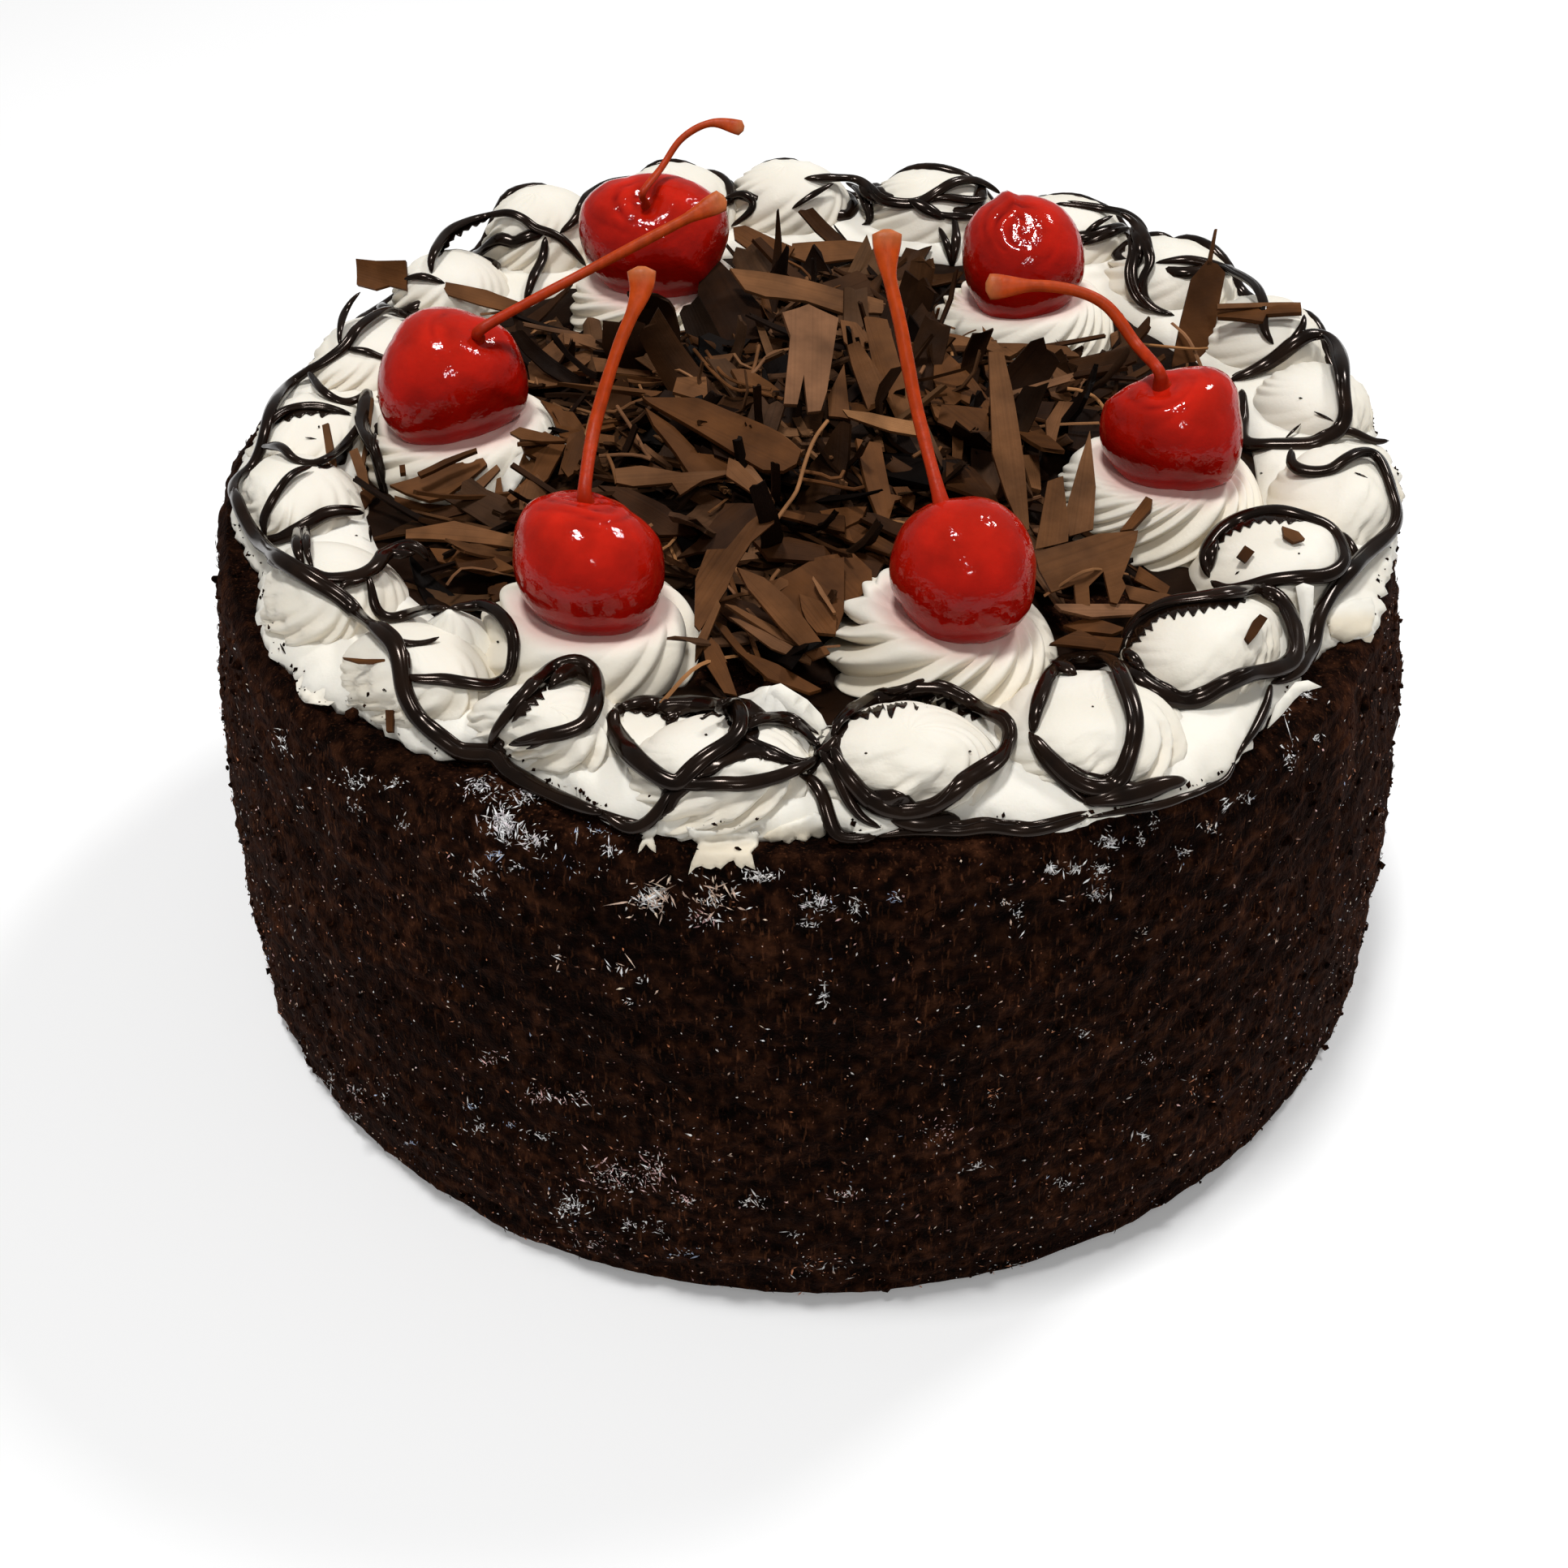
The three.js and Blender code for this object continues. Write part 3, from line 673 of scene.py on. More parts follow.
def cake_shape():
    """The coated side of the cake and the ledge under the cream's edge."""
    angles = np.linspace(0, 2 * np.pi, SIDE_COLUMNS, endpoint=False)
    rings = []
    for height in np.linspace(0, CAKE_TOP, SIDE_ROWS):
        radius = side_radius(height)
        rings.append(np.column_stack([radius * np.cos(angles), radius * np.sin(angles),
                                      np.full(SIDE_COLUMNS, height)]))
    for radius in np.arange(RIM_RADIUS - 1, LEDGE_INNER, -1.0):
        rings.append(on_circle(np.degrees(angles), radius, CAKE_TOP))
    rings = np.array(rings)
    flat = rings.reshape(-1, 3)
    radius = np.linalg.norm(flat[:, :2], axis=1)
    ledge = (radius < RIM_RADIUS - 0.5).astype(float)
    relief = np.minimum(side_relief(flat), TALLEST_CRUMB)
    outward = np.where(ledge > 0, -side_taper(flat), outward_relief(flat))
    flat[:, :2] *= (1 + outward / radius)[:, None]
    radius = np.linalg.norm(flat[:, :2], axis=1)
    flat[:, 2] += 0.6 * relief * ledge * ramp(LEDGE_INNER, LEDGE_INNER + 3, radius)
    # Painted shade and light: darker in the hollows of the relief, lighter on its lumps.
    shade = 0.35 + 0.25 * np.clip(relief, -1, 1)
    return one_body(rings, np.repeat(shade, 3).reshape(rings.shape))


def icosahedron():
    """Points and faces of a ball of twenty faces."""
    golden = (1 + 5 ** 0.5) / 2
    points = []
    for one in (-1, 1):
        for two in (-golden, golden):
            points += [(0, one, two), (one, two, 0), (two, 0, one)]
    points = unit(points)
    edge = min(np.linalg.norm(points[0] - other) for other in points[1:]) * 1.01
    faces = []
    for trio in combinations(range(12), 3):
        a, b, c = points[list(trio)]
        if max(np.linalg.norm(a - b), np.linalg.norm(b - c), np.linalg.norm(c - a)) < edge:
            outward = np.dot(np.cross(b - a, c - a), a) > 0
            faces.append(trio if outward else (trio[0], trio[2], trio[1]))
    return points, np.array(faces)


def octahedron():
    """Points and faces of a ball of eight faces."""
    points = np.array([(1, 0, 0), (0, 1, 0), (-1, 0, 0), (0, -1, 0), (0, 0, 1), (0, 0, -1)], float)
    upper = [(i, (i + 1) % 4, 4) for i in range(4)]
    lower = [((i + 1) % 4, i, 5) for i in range(4)]
    return points, np.array(upper + lower)


def scatter(shape, body, centres, sizes, frames, tints, rng, rough):
    """Adds an uneven copy of a body for each centre: `sizes` (n, 3) along the axes in `frames`."""
    points, faces = body
    count, corners = len(centres), len(points)
    local = points[None] * (1 + rng.uniform(-rough, rough, (count, corners, 1))) * sizes[:, None]
    placed = centres[:, None] + np.einsum("nij,njk->nik", local, frames)
    index = faces[None] + corners * np.arange(count)[:, None, None]
    shape.add(placed, [index.reshape(-1, 3)], np.repeat(tints, corners, axis=0))


def random_frames(rng, count):
    """Random turns, as rows of unit axes."""
    first = unit(rng.normal(size=(count, 3)))
    second = unit(np.cross(first, unit(rng.normal(size=(count, 3)))))
    return np.stack([first, second, np.cross(first, second)], axis=1)


def lying_frames(normals, lean, rng):
    """Axes that lie on a surface: along, across and out; `lean` is the angle from upright."""
    across = unit(np.cross(np.tile(UP, (len(normals), 1)), normals) + 1e-6)
    upright = np.cross(normals, across)
    along = upright * np.cos(lean)[:, None] + across * np.sin(lean)[:, None]
    along = unit(along + 0.25 * rng.normal(size=along.shape))
    second = unit(np.cross(normals, along))
    return np.stack([along, second, np.cross(along, second)], axis=1)


def side_points(degrees, heights, proud):
    """Points on the side, `proud` of it, and the directions out of it."""
    out = on_circle(degrees, np.ones(len(degrees)), 0.0)
    points = out * side_radius(heights)[:, None]
    points[:, 2] = heights
    return points + out * (outward_relief(points) + proud)[:, None], out


def cream_edge(degrees):
    """Radius of the border's edge in some directions."""
    angles, limits = np.array(CREAM_EDGE).T
    return np.interp(np.asarray(degrees) % 360, angles, limits)


def uneven_sizes(rng, count, mean, low, high):
    """Sizes along three axes: most of them small, and none beyond `low` and `high` by much."""
    return rng.gamma(3.0, mean, (count, 1)).clip(low, high) * rng.uniform(0.45, 1.3, (count, 3))


def add_side_crumbs(shape, rng):
    """Loose crumbs on the side, and a share of them on the ledge."""
    count = 3600
    ledge_share = 0.14
    heights = rng.uniform(0.8, 89.5, count)
    degrees = rng.uniform(0, 360, count)
    centres, _ = side_points(degrees, heights, rng.uniform(-0.3, 0.3, count))
    ledge = rng.uniform(size=count) < ledge_share
    rim = on_circle(degrees, np.full(count, RIM_RADIUS), CAKE_TOP)
    radius = rng.uniform(90, RIM_RADIUS - 0.4, count) - side_taper(rim)
    centres[ledge] = on_circle(degrees[ledge], radius[ledge], CAKE_TOP + 0.4)
    sizes = uneven_sizes(rng, count, 0.14, 0.2, 1.1)
    shade = rng.beta(2, 3, (count, 1)) * 0.8
    scatter(shape, icosahedron(), centres, sizes, random_frames(rng, count), shade, rng, 0.38)


def add_crumbs_on_cream(shape, border, rng):
    """Small crumbs in clumps along the edge of the cream."""
    count = 420
    degrees = rng.uniform(0, 360, count)
    clump = 1 + 1.6 * noise(on_circle(degrees, 100, 0), 6, 12)
    radius = cream_edge(degrees) + 0.8 - np.abs(rng.normal(size=count)) * clump.clip(0.2, 2.2) * 0.8
    centres, _ = Surface([border]).below(on_circle(degrees, radius, 0)[:, :2])
    sizes = uneven_sizes(rng, count, 0.09, 0.12, 0.6)
    shade = rng.beta(2, 3, (count, 1)) * 0.6
    scatter(shape, octahedron(), centres, sizes, random_frames(rng, count), shade, rng, 0.4)


def add_hairs(shape, rng):
    """Short hairs of crumb that stand out of the coat."""
    count = 6000
    thin = np.full(count, 0.08)
    degrees = rng.uniform(0, 360, count)
    centres, out = side_points(degrees, rng.uniform(1.0, 88, count), rng.uniform(-0.1, 0.3, count))
    sizes = np.column_stack([rng.uniform(0.35, 1.0, count), thin, thin])
    lean = np.radians(rng.normal(-18, 20, count))
    shade = rng.uniform(0.2, 0.85, (count, 1))
    scatter(shape, octahedron(), centres, sizes, lying_frames(out, lean, rng), shade, rng, 0.1)


def crumb_shape(border):
    """Crumbs and hairs that stand out of the coat, and crumbs on the edge of the cream."""
    rng = np.random.default_rng(11)
    shape = Shape()
    add_side_crumbs(shape, rng)
    add_crumbs_on_cream(shape, border, rng)
    add_hairs(shape, rng)
    return shape


# Colours of the flecks; the pale ones partly stand for painted glints.
WHITE = (0.95, 0.9, 0.86)
LILAC = (0.92, 0.83, 0.86)
TAN = (0.72, 0.5, 0.38)
ROSE = (0.78, 0.46, 0.44)
BLUE = (0.4, 0.48, 0.66)
RUST = (0.5, 0.18, 0.075)
# Patches of flecks in the picture: middle and half size in pixels, number, length in mm and colour.
FLECK_PATCHES = [
    (440, 963, 26, 14, 60, 1.2, WHITE), (486, 964, 12, 8, 24, 1.1, WHITE),
    (351, 915, 10, 24, 30, 1.5, WHITE), (442, 995, 16, 10, 22, 0.9, LILAC),
    (497, 1017, 10, 8, 22, 1.0, LILAC), (621, 1014, 20, 20, 240, 1.5, LILAC),
    (660, 1036, 16, 14, 70, 1.3, LILAC), (595, 970, 22, 16, 90, 1.4, LILAC),
    (648, 978, 22, 16, 90, 1.4, LILAC), (733, 1027, 24, 7, 30, 1.1, BLUE),
    (752, 1048, 12, 9, 30, 1.2, LILAC), (611, 1051, 12, 6, 24, 1.0, BLUE),
    (588, 1075, 10, 10, 30, 1.0, WHITE), (630, 1068, 18, 9, 26, 0.9, LILAC),
    (596, 1099, 8, 6, 14, 0.8, WHITE), (700, 1072, 60, 14, 26, 0.7, BLUE),
    (804, 1106, 26, 17, 150, 2.3, TAN), (880, 1104, 26, 22, 110, 2.0, TAN),
    (868, 1133, 24, 8, 40, 1.5, ROSE), (941, 1079, 22, 6, 60, 1.5, WHITE),
    (689, 1178, 5, 22, 9, 2.6, TAN), (767, 1192, 13, 15, 18, 2.0, TAN), (791, 1204, 8, 6, 9, 1.4, WHITE),
    (776, 1233, 6, 4, 8, 1.2, WHITE), (408, 1328, 9, 12, 34, 1.1, WHITE),
    (440, 1346, 10, 11, 34, 1.1, ROSE), (437, 1378, 8, 8, 18, 1.0, WHITE),
    (476, 1347, 6, 10, 12, 1.3, WHITE), (606, 1306, 20, 12, 36, 1.0, ROSE),
    (582, 1361, 10, 6, 22, 0.9, BLUE), (670, 1350, 36, 12, 60, 1.1, ROSE),
    (592, 1389, 14, 10, 34, 1.0, LILAC), (630, 1386, 7, 6, 14, 0.9, BLUE),
    (668, 1399, 18, 10, 34, 1.0, WHITE), (720, 1350, 20, 16, 26, 1.0, ROSE),
    (506, 1408, 8, 5, 16, 0.9, BLUE), (762, 1448, 50, 28, 200, 1.2, ROSE),
    (704, 1484, 22, 16, 110, 1.2, WHITE), (808, 1445, 22, 24, 90, 1.2, ROSE),
    (846, 1477, 14, 8, 34, 1.0, ROSE), (924, 1479, 16, 8, 40, 1.1, WHITE),
    (776, 1508, 22, 8, 40, 1.0, LILAC), (813, 1512, 12, 8, 26, 0.9, LILAC),
    (846, 1541, 24, 8, 34, 0.9, BLUE), (730, 1530, 60, 18, 60, 0.9, ROSE),
    (979, 1519, 12, 7, 18, 1.0, WHITE), (1008, 1111, 20, 12, 90, 1.1, LILAC),
    (999, 1137, 12, 7, 26, 1.0, LILAC), (1055, 1116, 12, 18, 44, 1.0, WHITE),
    (1103, 1104, 8, 8, 20, 0.9, BLUE), (1291, 1070, 12, 9, 50, 1.1, WHITE),
    (1325, 1071, 10, 8, 36, 1.1, WHITE), (1354, 1070, 11, 10, 50, 1.1, WHITE),
    (1366, 1037, 15, 10, 70, 1.2, LILAC), (1350, 1100, 14, 9, 50, 1.0, LILAC),
    (1254, 1126, 6, 12, 26, 1.0, WHITE), (1236, 1112, 12, 10, 24, 0.8, TAN),
    (1404, 1036, 6, 12, 20, 1.0, WHITE), (1421, 1015, 6, 11, 20, 1.1, WHITE),
    (1454, 1049, 10, 8, 26, 1.0, WHITE), (1489, 1017, 10, 8, 30, 1.1, TAN),
    (1508, 993, 7, 7, 20, 1.0, WHITE), (1530, 981, 9, 6, 24, 1.0, WHITE),
    (1588, 934, 9, 17, 40, 1.0, LILAC), (1619, 908, 7, 6, 24, 1.0, WHITE),
    (1015, 1222, 6, 21, 26, 1.5, WHITE), (1334, 1272, 10, 6, 18, 0.9, WHITE),
    (1407, 1148, 12, 9, 12, 1.0, TAN), (1419, 1305, 14, 6, 20, 0.8, ROSE),
    (1225, 1348, 14, 9, 24, 1.0, RUST), (1160, 1390, 30, 26, 50, 0.7, ROSE),
    (1204, 1435, 9, 7, 26, 1.0, WHITE), (1407, 1401, 9, 10, 22, 1.0, WHITE),
    (1041, 1470, 20, 10, 40, 0.8, ROSE), (1310, 1458, 18, 10, 34, 0.9, LILAC),
    (1435, 1488, 14, 12, 30, 1.0, RUST), (1470, 1340, 16, 26, 20, 1.4, RUST),
    (1010, 1560, 60, 16, 60, 1.2, RUST), (1250, 1560, 50, 16, 50, 1.0, RUST),
    (1580, 870, 12, 26, 40, 2.4, WHITE), (1610, 858, 12, 8, 30, 1.6, WHITE),
    (371, 995, 6, 26, 8, 1.0, WHITE),
]


def flecks_in_patches(surface, rng):
    """Points, normals, lengths and colours of the flecks in each patch of the picture."""
    for x, y, half_x, half_y, count, length, colour in FLECK_PATCHES:
        spread = rng.normal(size=(count, 2)) * (half_x, half_y) * rng.uniform(0.2, 0.85, (count, 1))
        points, facing = surface.hit(spread + (x, y))
        lengths = length * rng.gamma(2, 0.23, len(points))
        white = rng.uniform(size=(len(points), 1)) < 0.45
        shades = np.where(white, WHITE, colour) * rng.uniform(0.5, 1.6, (len(points), 1))
        yield points, facing, lengths, shades


def flecks_out_of_sight(rng):
    """The same for clusters round the back, which the picture doesn't show."""
    clusters = 34
    for _ in range(clusters):
        spread = rng.uniform(2, 6)
        count = rng.integers(10, 60)
        degrees = rng.normal(rng.uniform(-10, 190), spread * 0.5, count)
        heights = rng.normal(rng.uniform(6, 84), spread * 0.6, count).clip(1, 88)
        points, facing = side_points(degrees, heights, 0)
        lengths = rng.gamma(2, 0.2, count) * rng.uniform(0.7, 1.5)
        yield points, facing, lengths, np.array(WHITE) * rng.uniform(0.4, 1.4, (count, 1))


def specks_all_round(rng):
    """The same for the small specks, which are thickest low on the side."""
    count = 8000
    degrees = rng.uniform(0, 360, count)
    points, facing = side_points(degrees, 88 * rng.beta(1.0, 1.25, count) + 0.8, -0.1)
    lengths = rng.gamma(2, 0.15, count).clip(0.15, 1.0)
    pick = rng.choice(5, count, p=[0.3, 0.2, 0.12, 0.06, 0.32])
    palette = np.array([TAN, WHITE, ROSE, BLUE, RUST])
    return points, facing, lengths, palette[pick] * rng.uniform(0.3, 1.6, (count, 1))


def fleck_shape(cake):
    """Flecks and fibres of sugar and coconut, partly painted glints: patches as in the picture, and specks
    all round.
    """
    rng = np.random.default_rng(23)
    groups = [*flecks_in_patches(Surface([cake]), rng), *flecks_out_of_sight(rng)]
    patched = sum(len(points) for points, _, _, _ in groups)
    groups.append(specks_all_round(rng))
    centres, normals, lengths, colours = (np.concatenate(parts) for parts in zip(*groups))
    total = len(centres)
    centres = centres + normals * rng.uniform(0.1, 0.5, (total, 1))
    slender = np.where(np.arange(total) < patched, 0.11, 0.26)
    widths = np.clip(lengths * slender * rng.uniform(0.5, 1.5, total), 0.06, 0.15)
    sizes = np.column_stack([lengths / 2 + 0.06, widths, widths * 0.7])
    frames = lying_frames(normals, rng.uniform(0, np.pi, total), rng)
    shape = Shape()
    scatter(shape, octahedron(), centres, sizes, frames, colours.clip(0, 0.95), rng, 0.6)
    return shape


# ---- cream ----
SWIRL_COUNT = 21
SWIRL_RING = 88.6
SWIRL_RADIUS = 14.0
SWIRL_HEIGHT = 8.8
FIRST_SWIRL = 280.0
PLEAT_DEPTH = 0.18
RING_INNER = 74.5
RING_TOP = CAKE_TOP + 3.8
ROSETTE_RADIUS = 17.4
ROSETTE_HEIGHT = 12.6


def between(draws, low, high):
    """The next draw, spread between two values."""
    return low + (high - low) * next(draws)


# How much higher and further out than in the solids the crest of a swirl is, by its number, and how
# deep its pleats are.
SWIRL_FORMS = {
    2: (1.0, -3.0, 0.7), 3: (1.0, -6.0, 0.5), 4: (0, 0, 0.5), 5: (0.5, 1.0, 0.5), 6: (1.0, 2.0, 0.7),
    7: (1.5, 2.5, 1), 8: (2.5, 3.0, 1), 9: (2.5, 3.5, 1), 10: (2.0, 3.0, 1), 11: (3.2, 3.5, 1),
    12: (4.0, 3.5, 1), 13: (0.0, 0.5, 0.7), 14: (-2.0, -1.0, 0.6), 15: (-2.0, 0.0, 0.6),
    16: (-1.0, 0.0, 0.5), 17: (0, 0, 0.35), 18: (0, 0, 0.45),
}


def swirl_specs():
    """The border swirls, drawn in the order of the solids' own draws."""
    draws = seeded_random(7)
    specs = []
    for i in range(SWIRL_COUNT):
        rise, outward, depth = SWIRL_FORMS.get(i, (0, 0, 1))
        specs.append({
            "angle": FIRST_SWIRL + i * 360 / SWIRL_COUNT + between(draws, -1.2, 1.2),
            "ring": SWIRL_RING + between(draws, -0.8, 0.8) + outward,
            "radius": SWIRL_RADIUS * between(draws, 0.95, 1.04),
            "height": SWIRL_HEIGHT * between(draws, 0.88, 1.1) + rise,
            "loop": between(draws, 0.62, 0.76),
            "oval": between(draws, 0.92, 1.06),
            "turn": between(draws, 0, 360),
            "depth": PLEAT_DEPTH * depth,
        })
    return specs


def swirl_rings(radius, height, ridges, depth, twist, calm_side, sharpness, rng, columns, rows):
    """Rings of a dome piped through a star nozzle: pleats that wind up to the middle.

    The pleats are shallowest in the direction `calm_side`, in degrees, and the greater the `sharpness`,
    the narrower the sector in which they are deep. Also returns the tint: no stain, then painted shade
    by the depth in a pleat and by how low each point lies.
    """
    u = np.linspace(0, 2 * np.pi, columns, endpoint=False)[None]
    v = np.linspace(0, 0.985, rows)[:, None]
    upward = np.sin(v * np.pi / 2)
    uneven = 0.10 * np.sin(2 * u + rng.uniform(0, 6)) + 0.07 * np.sin(5 * u + rng.uniform(0, 6))
    phase = ridges * (u + uneven)
    pleat = np.abs(np.cos((phase + 0.45 * np.sin(phase)) / 2)) ** 0.7
    calm = 0.5 + 0.5 * np.cos(u - math.radians(calm_side))
    deep = depth * (0.2 + 1.15 * (1 - calm) ** sharpness)
    fade = 1 - 0.93 * ramp(0.25, 0.7, v)
    groove = (1 - pleat) * deep * fade * (0.45 + 0.55 * ramp(0, 0.2, v))
    wide = radius * np.cos(v * np.pi / 2) ** 0.8 * (1 - groove)
    wide = wide * (1 + 0.05 * np.sin(u + rng.uniform(0, 6)))
    high = height * upward ** 1.1 - groove * height * 0.45 * upward
    wound = u + twist * v ** 0.8
    x = wide * np.cos(wound) + rng.uniform(-1.2, 1.2) * v ** 2
    y = wide * np.sin(wound) + rng.uniform(-1.2, 1.2) * v ** 2
    rings = np.stack([x, y, high], axis=-1)
    lumps = rough_noise(rings.reshape(-1, 3) + rng.uniform(0, 900), 9, 2).reshape(x.shape)
    rings[..., 2] += 0.5 * lumps * upward
    # Painted shade: darker deep in the pleats and low on the dome.
    tint = [np.zeros(x.shape), groove / depth, np.broadcast_to((1 - v) ** 1.5, x.shape)]
    return rings, np.stack(tint, axis=-1)


def turned_about_z(points, degrees):
    """Points turned about the Z axis."""
    cosine, sine = math.cos(math.radians(degrees)), math.sin(math.radians(degrees))
    return points @ np.array([[cosine, sine, 0], [-sine, cosine, 0], [0, 0, 1]])


# Angle and radius of the border's edge, where the crumbs begin.
CREAM_EDGE = [
    (0, 97.5), (15, 99), (30, 101), (60, 102), (90, 101), (120, 102), (140, 99), (155, 96), (175, 96),
    (191, 96.5), (199, 95), (202, 93), (209, 96), (217, 97.5), (222, 98.5), (228, 96), (237, 96),
    (241, 92.5), (245, 92.5), (250, 95.5), (257, 98), (266, 97), (272, 96), (283, 98), (290, 100.5),
    (297, 102), (303, 102), (308, 99.5), (312, 97), (318, 95), (325, 94), (329, 98.5), (337, 97),
    (342, 97), (360, 98.5),
]
# The border is drawn in beyond this radius, and would otherwise reach as far as the second.
EDGE_ZONE = 86.0
SWIRL_REACH = 104.0
SHEET_COLUMNS = 720


def kept_inside(points):
    """Draws in the outer part of the border so that it ends at the edge."""
    shape = points.shape
    flat = points.reshape(-1, 3).copy()
    radius = np.linalg.norm(flat[:, :2], axis=1)
    degrees = np.degrees(np.arctan2(flat[:, 1], flat[:, 0])) % 360
    limit = cream_edge(degrees) + 1.1 * noise(flat, 4, 31) + 0.9 * noise(flat, 1.8, 32)
    outer = np.maximum(radius - EDGE_ZONE, 0)
    new_radius = np.minimum(radius, EDGE_ZONE) + outer * (limit - EDGE_ZONE) / (SWIRL_REACH - EDGE_ZONE)
    flat[:, :2] *= (new_radius / radius)[:, None]
    return flat.reshape(shape)


def cream_sheet(shape):
    """The sheet of cream under the swirls, which ends raggedly at the edge."""
    degrees = np.linspace(0, 360, SHEET_COLUMNS, endpoint=False)
    outline = [
        (RING_INNER, CREAM_BASE), (RING_INNER + 0.4, RING_TOP - 1.6), (RING_INNER + 3, RING_TOP),
        (RING_INNER + 9, RING_TOP + 0.6), (92.0, RING_TOP + 0.6), (98.0, RING_TOP - 0.2),
        (101.5, RING_TOP - 1.2), (SWIRL_REACH - 0.8, CREAM_BASE + 1.0), (SWIRL_REACH, CREAM_BASE + 0.2),
        (SWIRL_REACH - 1, CREAM_BASE - 0.6), (RIM_RADIUS - 6, CREAM_BASE - 0.6),
    ]
    rings = np.array([on_circle(degrees, radius, height) for radius, height in outline])
    shape.closed_sweep(kept_inside(rings.transpose(1, 0, 2)), (0, 0, 0))


# Drips over the rim: angle, half their width, and the height where they end.
DRIPS = [(222.5, 3.5, 89.0), (62, 4.0, 85.5), (135, 3.5, 86.0)]
# Outlines of cream that is smeared over the rim in the picture.
CREAM_SMEARS = [
    "845,1018 870,1022 900,1024 937,1024 934,1042 926,1050 929,1064 931,1072 922,1068 918,1066 914,1071 "
    "907,1066 904,1060 898,1062 893,1066 888,1071 882,1068 876,1071 870,1070 864,1067 857,1069 848,1078 "
    "852,1062 858,1048 860,1040 850,1032",
    "782,1024 800,1018 812,1016 810,1026 805,1032 808,1042 808,1051 801,1046 796,1040 790,1048 786,1051 "
    "788,1042 792,1034 788,1030",
    "945,1026 965,1016 985,1010 1004,1000 1012,1004 1018,1014 1018,1028 1010,1034 1000,1030 992,1038 "
    "980,1034 972,1040 962,1036 950,1038 940,1032",
    "1030,1022 1060,1024 1088,1020 1076,1026 1050,1030 1034,1028",
    "1634,764 1638,750 1650,744 1668,738 1690,736 1694,748 1694,760 1690,772 1693,784 1689,792 1682,791 "
    "1674,784 1664,790 1656,793 1648,788 1640,784",
]


def cream_drip(shape, angle, half_width, foot):
    """A thin, flat tongue of cream that hangs over the rim."""
    profile = [(92.0, CREAM_BASE + 0.8), (96.5, CREAM_BASE + 1.0), (RIM_RADIUS - 0.2, CAKE_TOP + 0.5)]
    heights = np.arange(CAKE_TOP - 1.4, foot - 0.1, -1.0)
    profile += [(side_radius(height) + 0.3, height) for height in heights]
    path = curve_through([on_circle(angle, radius, height) for radius, height in profile], 0.6)
    outward = unit(path * (1, 1, 0)) + (0, 0, 0.25)
    t = np.linspace(0, 1, len(path))
    uneven = 1 + 0.25 * noise(path, 2.2, 14) + 0.4 * (1 - t)
    wide = half_width * uneven * np.sqrt(np.clip(1 - t ** 7, 0.05, 1))
    high = 0.42 * np.sqrt(np.clip(1 - t ** 8, 0.1, 1))
    rings = tube_rings(path, unit(outward), wide, high, 44)
    ragged = 1.1 * rough_noise(rings.reshape(-1, 3) * (1, 1, 0.2), 2.0, 2, 15).reshape(rings.shape[:2])
    rings[..., 2] += ragged * t[:, None]
    # Painted shade on the drip, half as strong as on the lowest cream.
    shape.loft(rings, (0, 0, 0.5))


# Pointed tips of cream in the picture: pixel and height of the tip, radius and height of the cone.
PEAKS = [((553, 750), 101.0, 6.5, 6.0), ((947, 846), 99.0, 6.5, 5.5)]


# Where cherry juice has stained the border in the picture.
STAIN = (314, 622)
STAIN_STRENGTH = 0.6


def cream_peak(shape, tip, tip_height, radius, height, rng):
    """A small pointed star of cream."""
    foot = at_height([tip], tip_height)[0] - (0, 0, height)
    u = np.linspace(0, 2 * np.pi, 72, endpoint=False)[None]
    v = np.linspace(0, 0.97, 16)[:, None]
    pleat = 1 - 0.22 * (1 - np.abs(np.cos(3.5 * u)) ** 0.6) * (1 - 0.6 * v)
    wide = radius * (1 - v) ** 0.85 * pleat
    wound = u + 0.9 * v + rng.uniform(0, 6)
    high = height * v * np.ones_like(u)
    rings = np.stack([wide * np.cos(wound), wide * np.sin(wound), high], axis=-1)
    shape.loft(rings + foot, (0, 0, 0))


def border_shape():
    """The sheet of cream with its drips, its two pointed tips and its swirls."""
    rng = np.random.default_rng(3)
    shape = Shape()
    cream_sheet(shape)
    for angle, half_width, foot in DRIPS:
        cream_drip(shape, angle, half_width, foot)
    for tip, tip_height, radius, height in PEAKS:
        cream_peak(shape, tip, tip_height, radius, height, rng)
    stain = at_height([STAIN], RING_TOP)
    for spec in swirl_specs():
        rings, tint = swirl_rings(
            radius=spec["radius"] * 1.03, height=spec["height"] + 1.0, ridges=15, depth=spec["depth"],
            twist=2.3, calm_side=180 - spec["turn"], sharpness=2.0, rng=rng, columns=150, rows=25)
        rings = turned_about_z(rings, spec["turn"])
        rings[..., 1] *= spec["oval"]
        rings = turned_about_z(rings, spec["angle"]) + on_circle(spec["angle"], spec["ring"], CREAM_BASE)
        aside = np.linalg.norm(rings - stain, axis=-1)
        tint[..., 0] = STAIN_STRENGTH * (1 - ramp(2.0, 5.5, aside))
        shape.loft(kept_inside(rings), tint)
    return shape


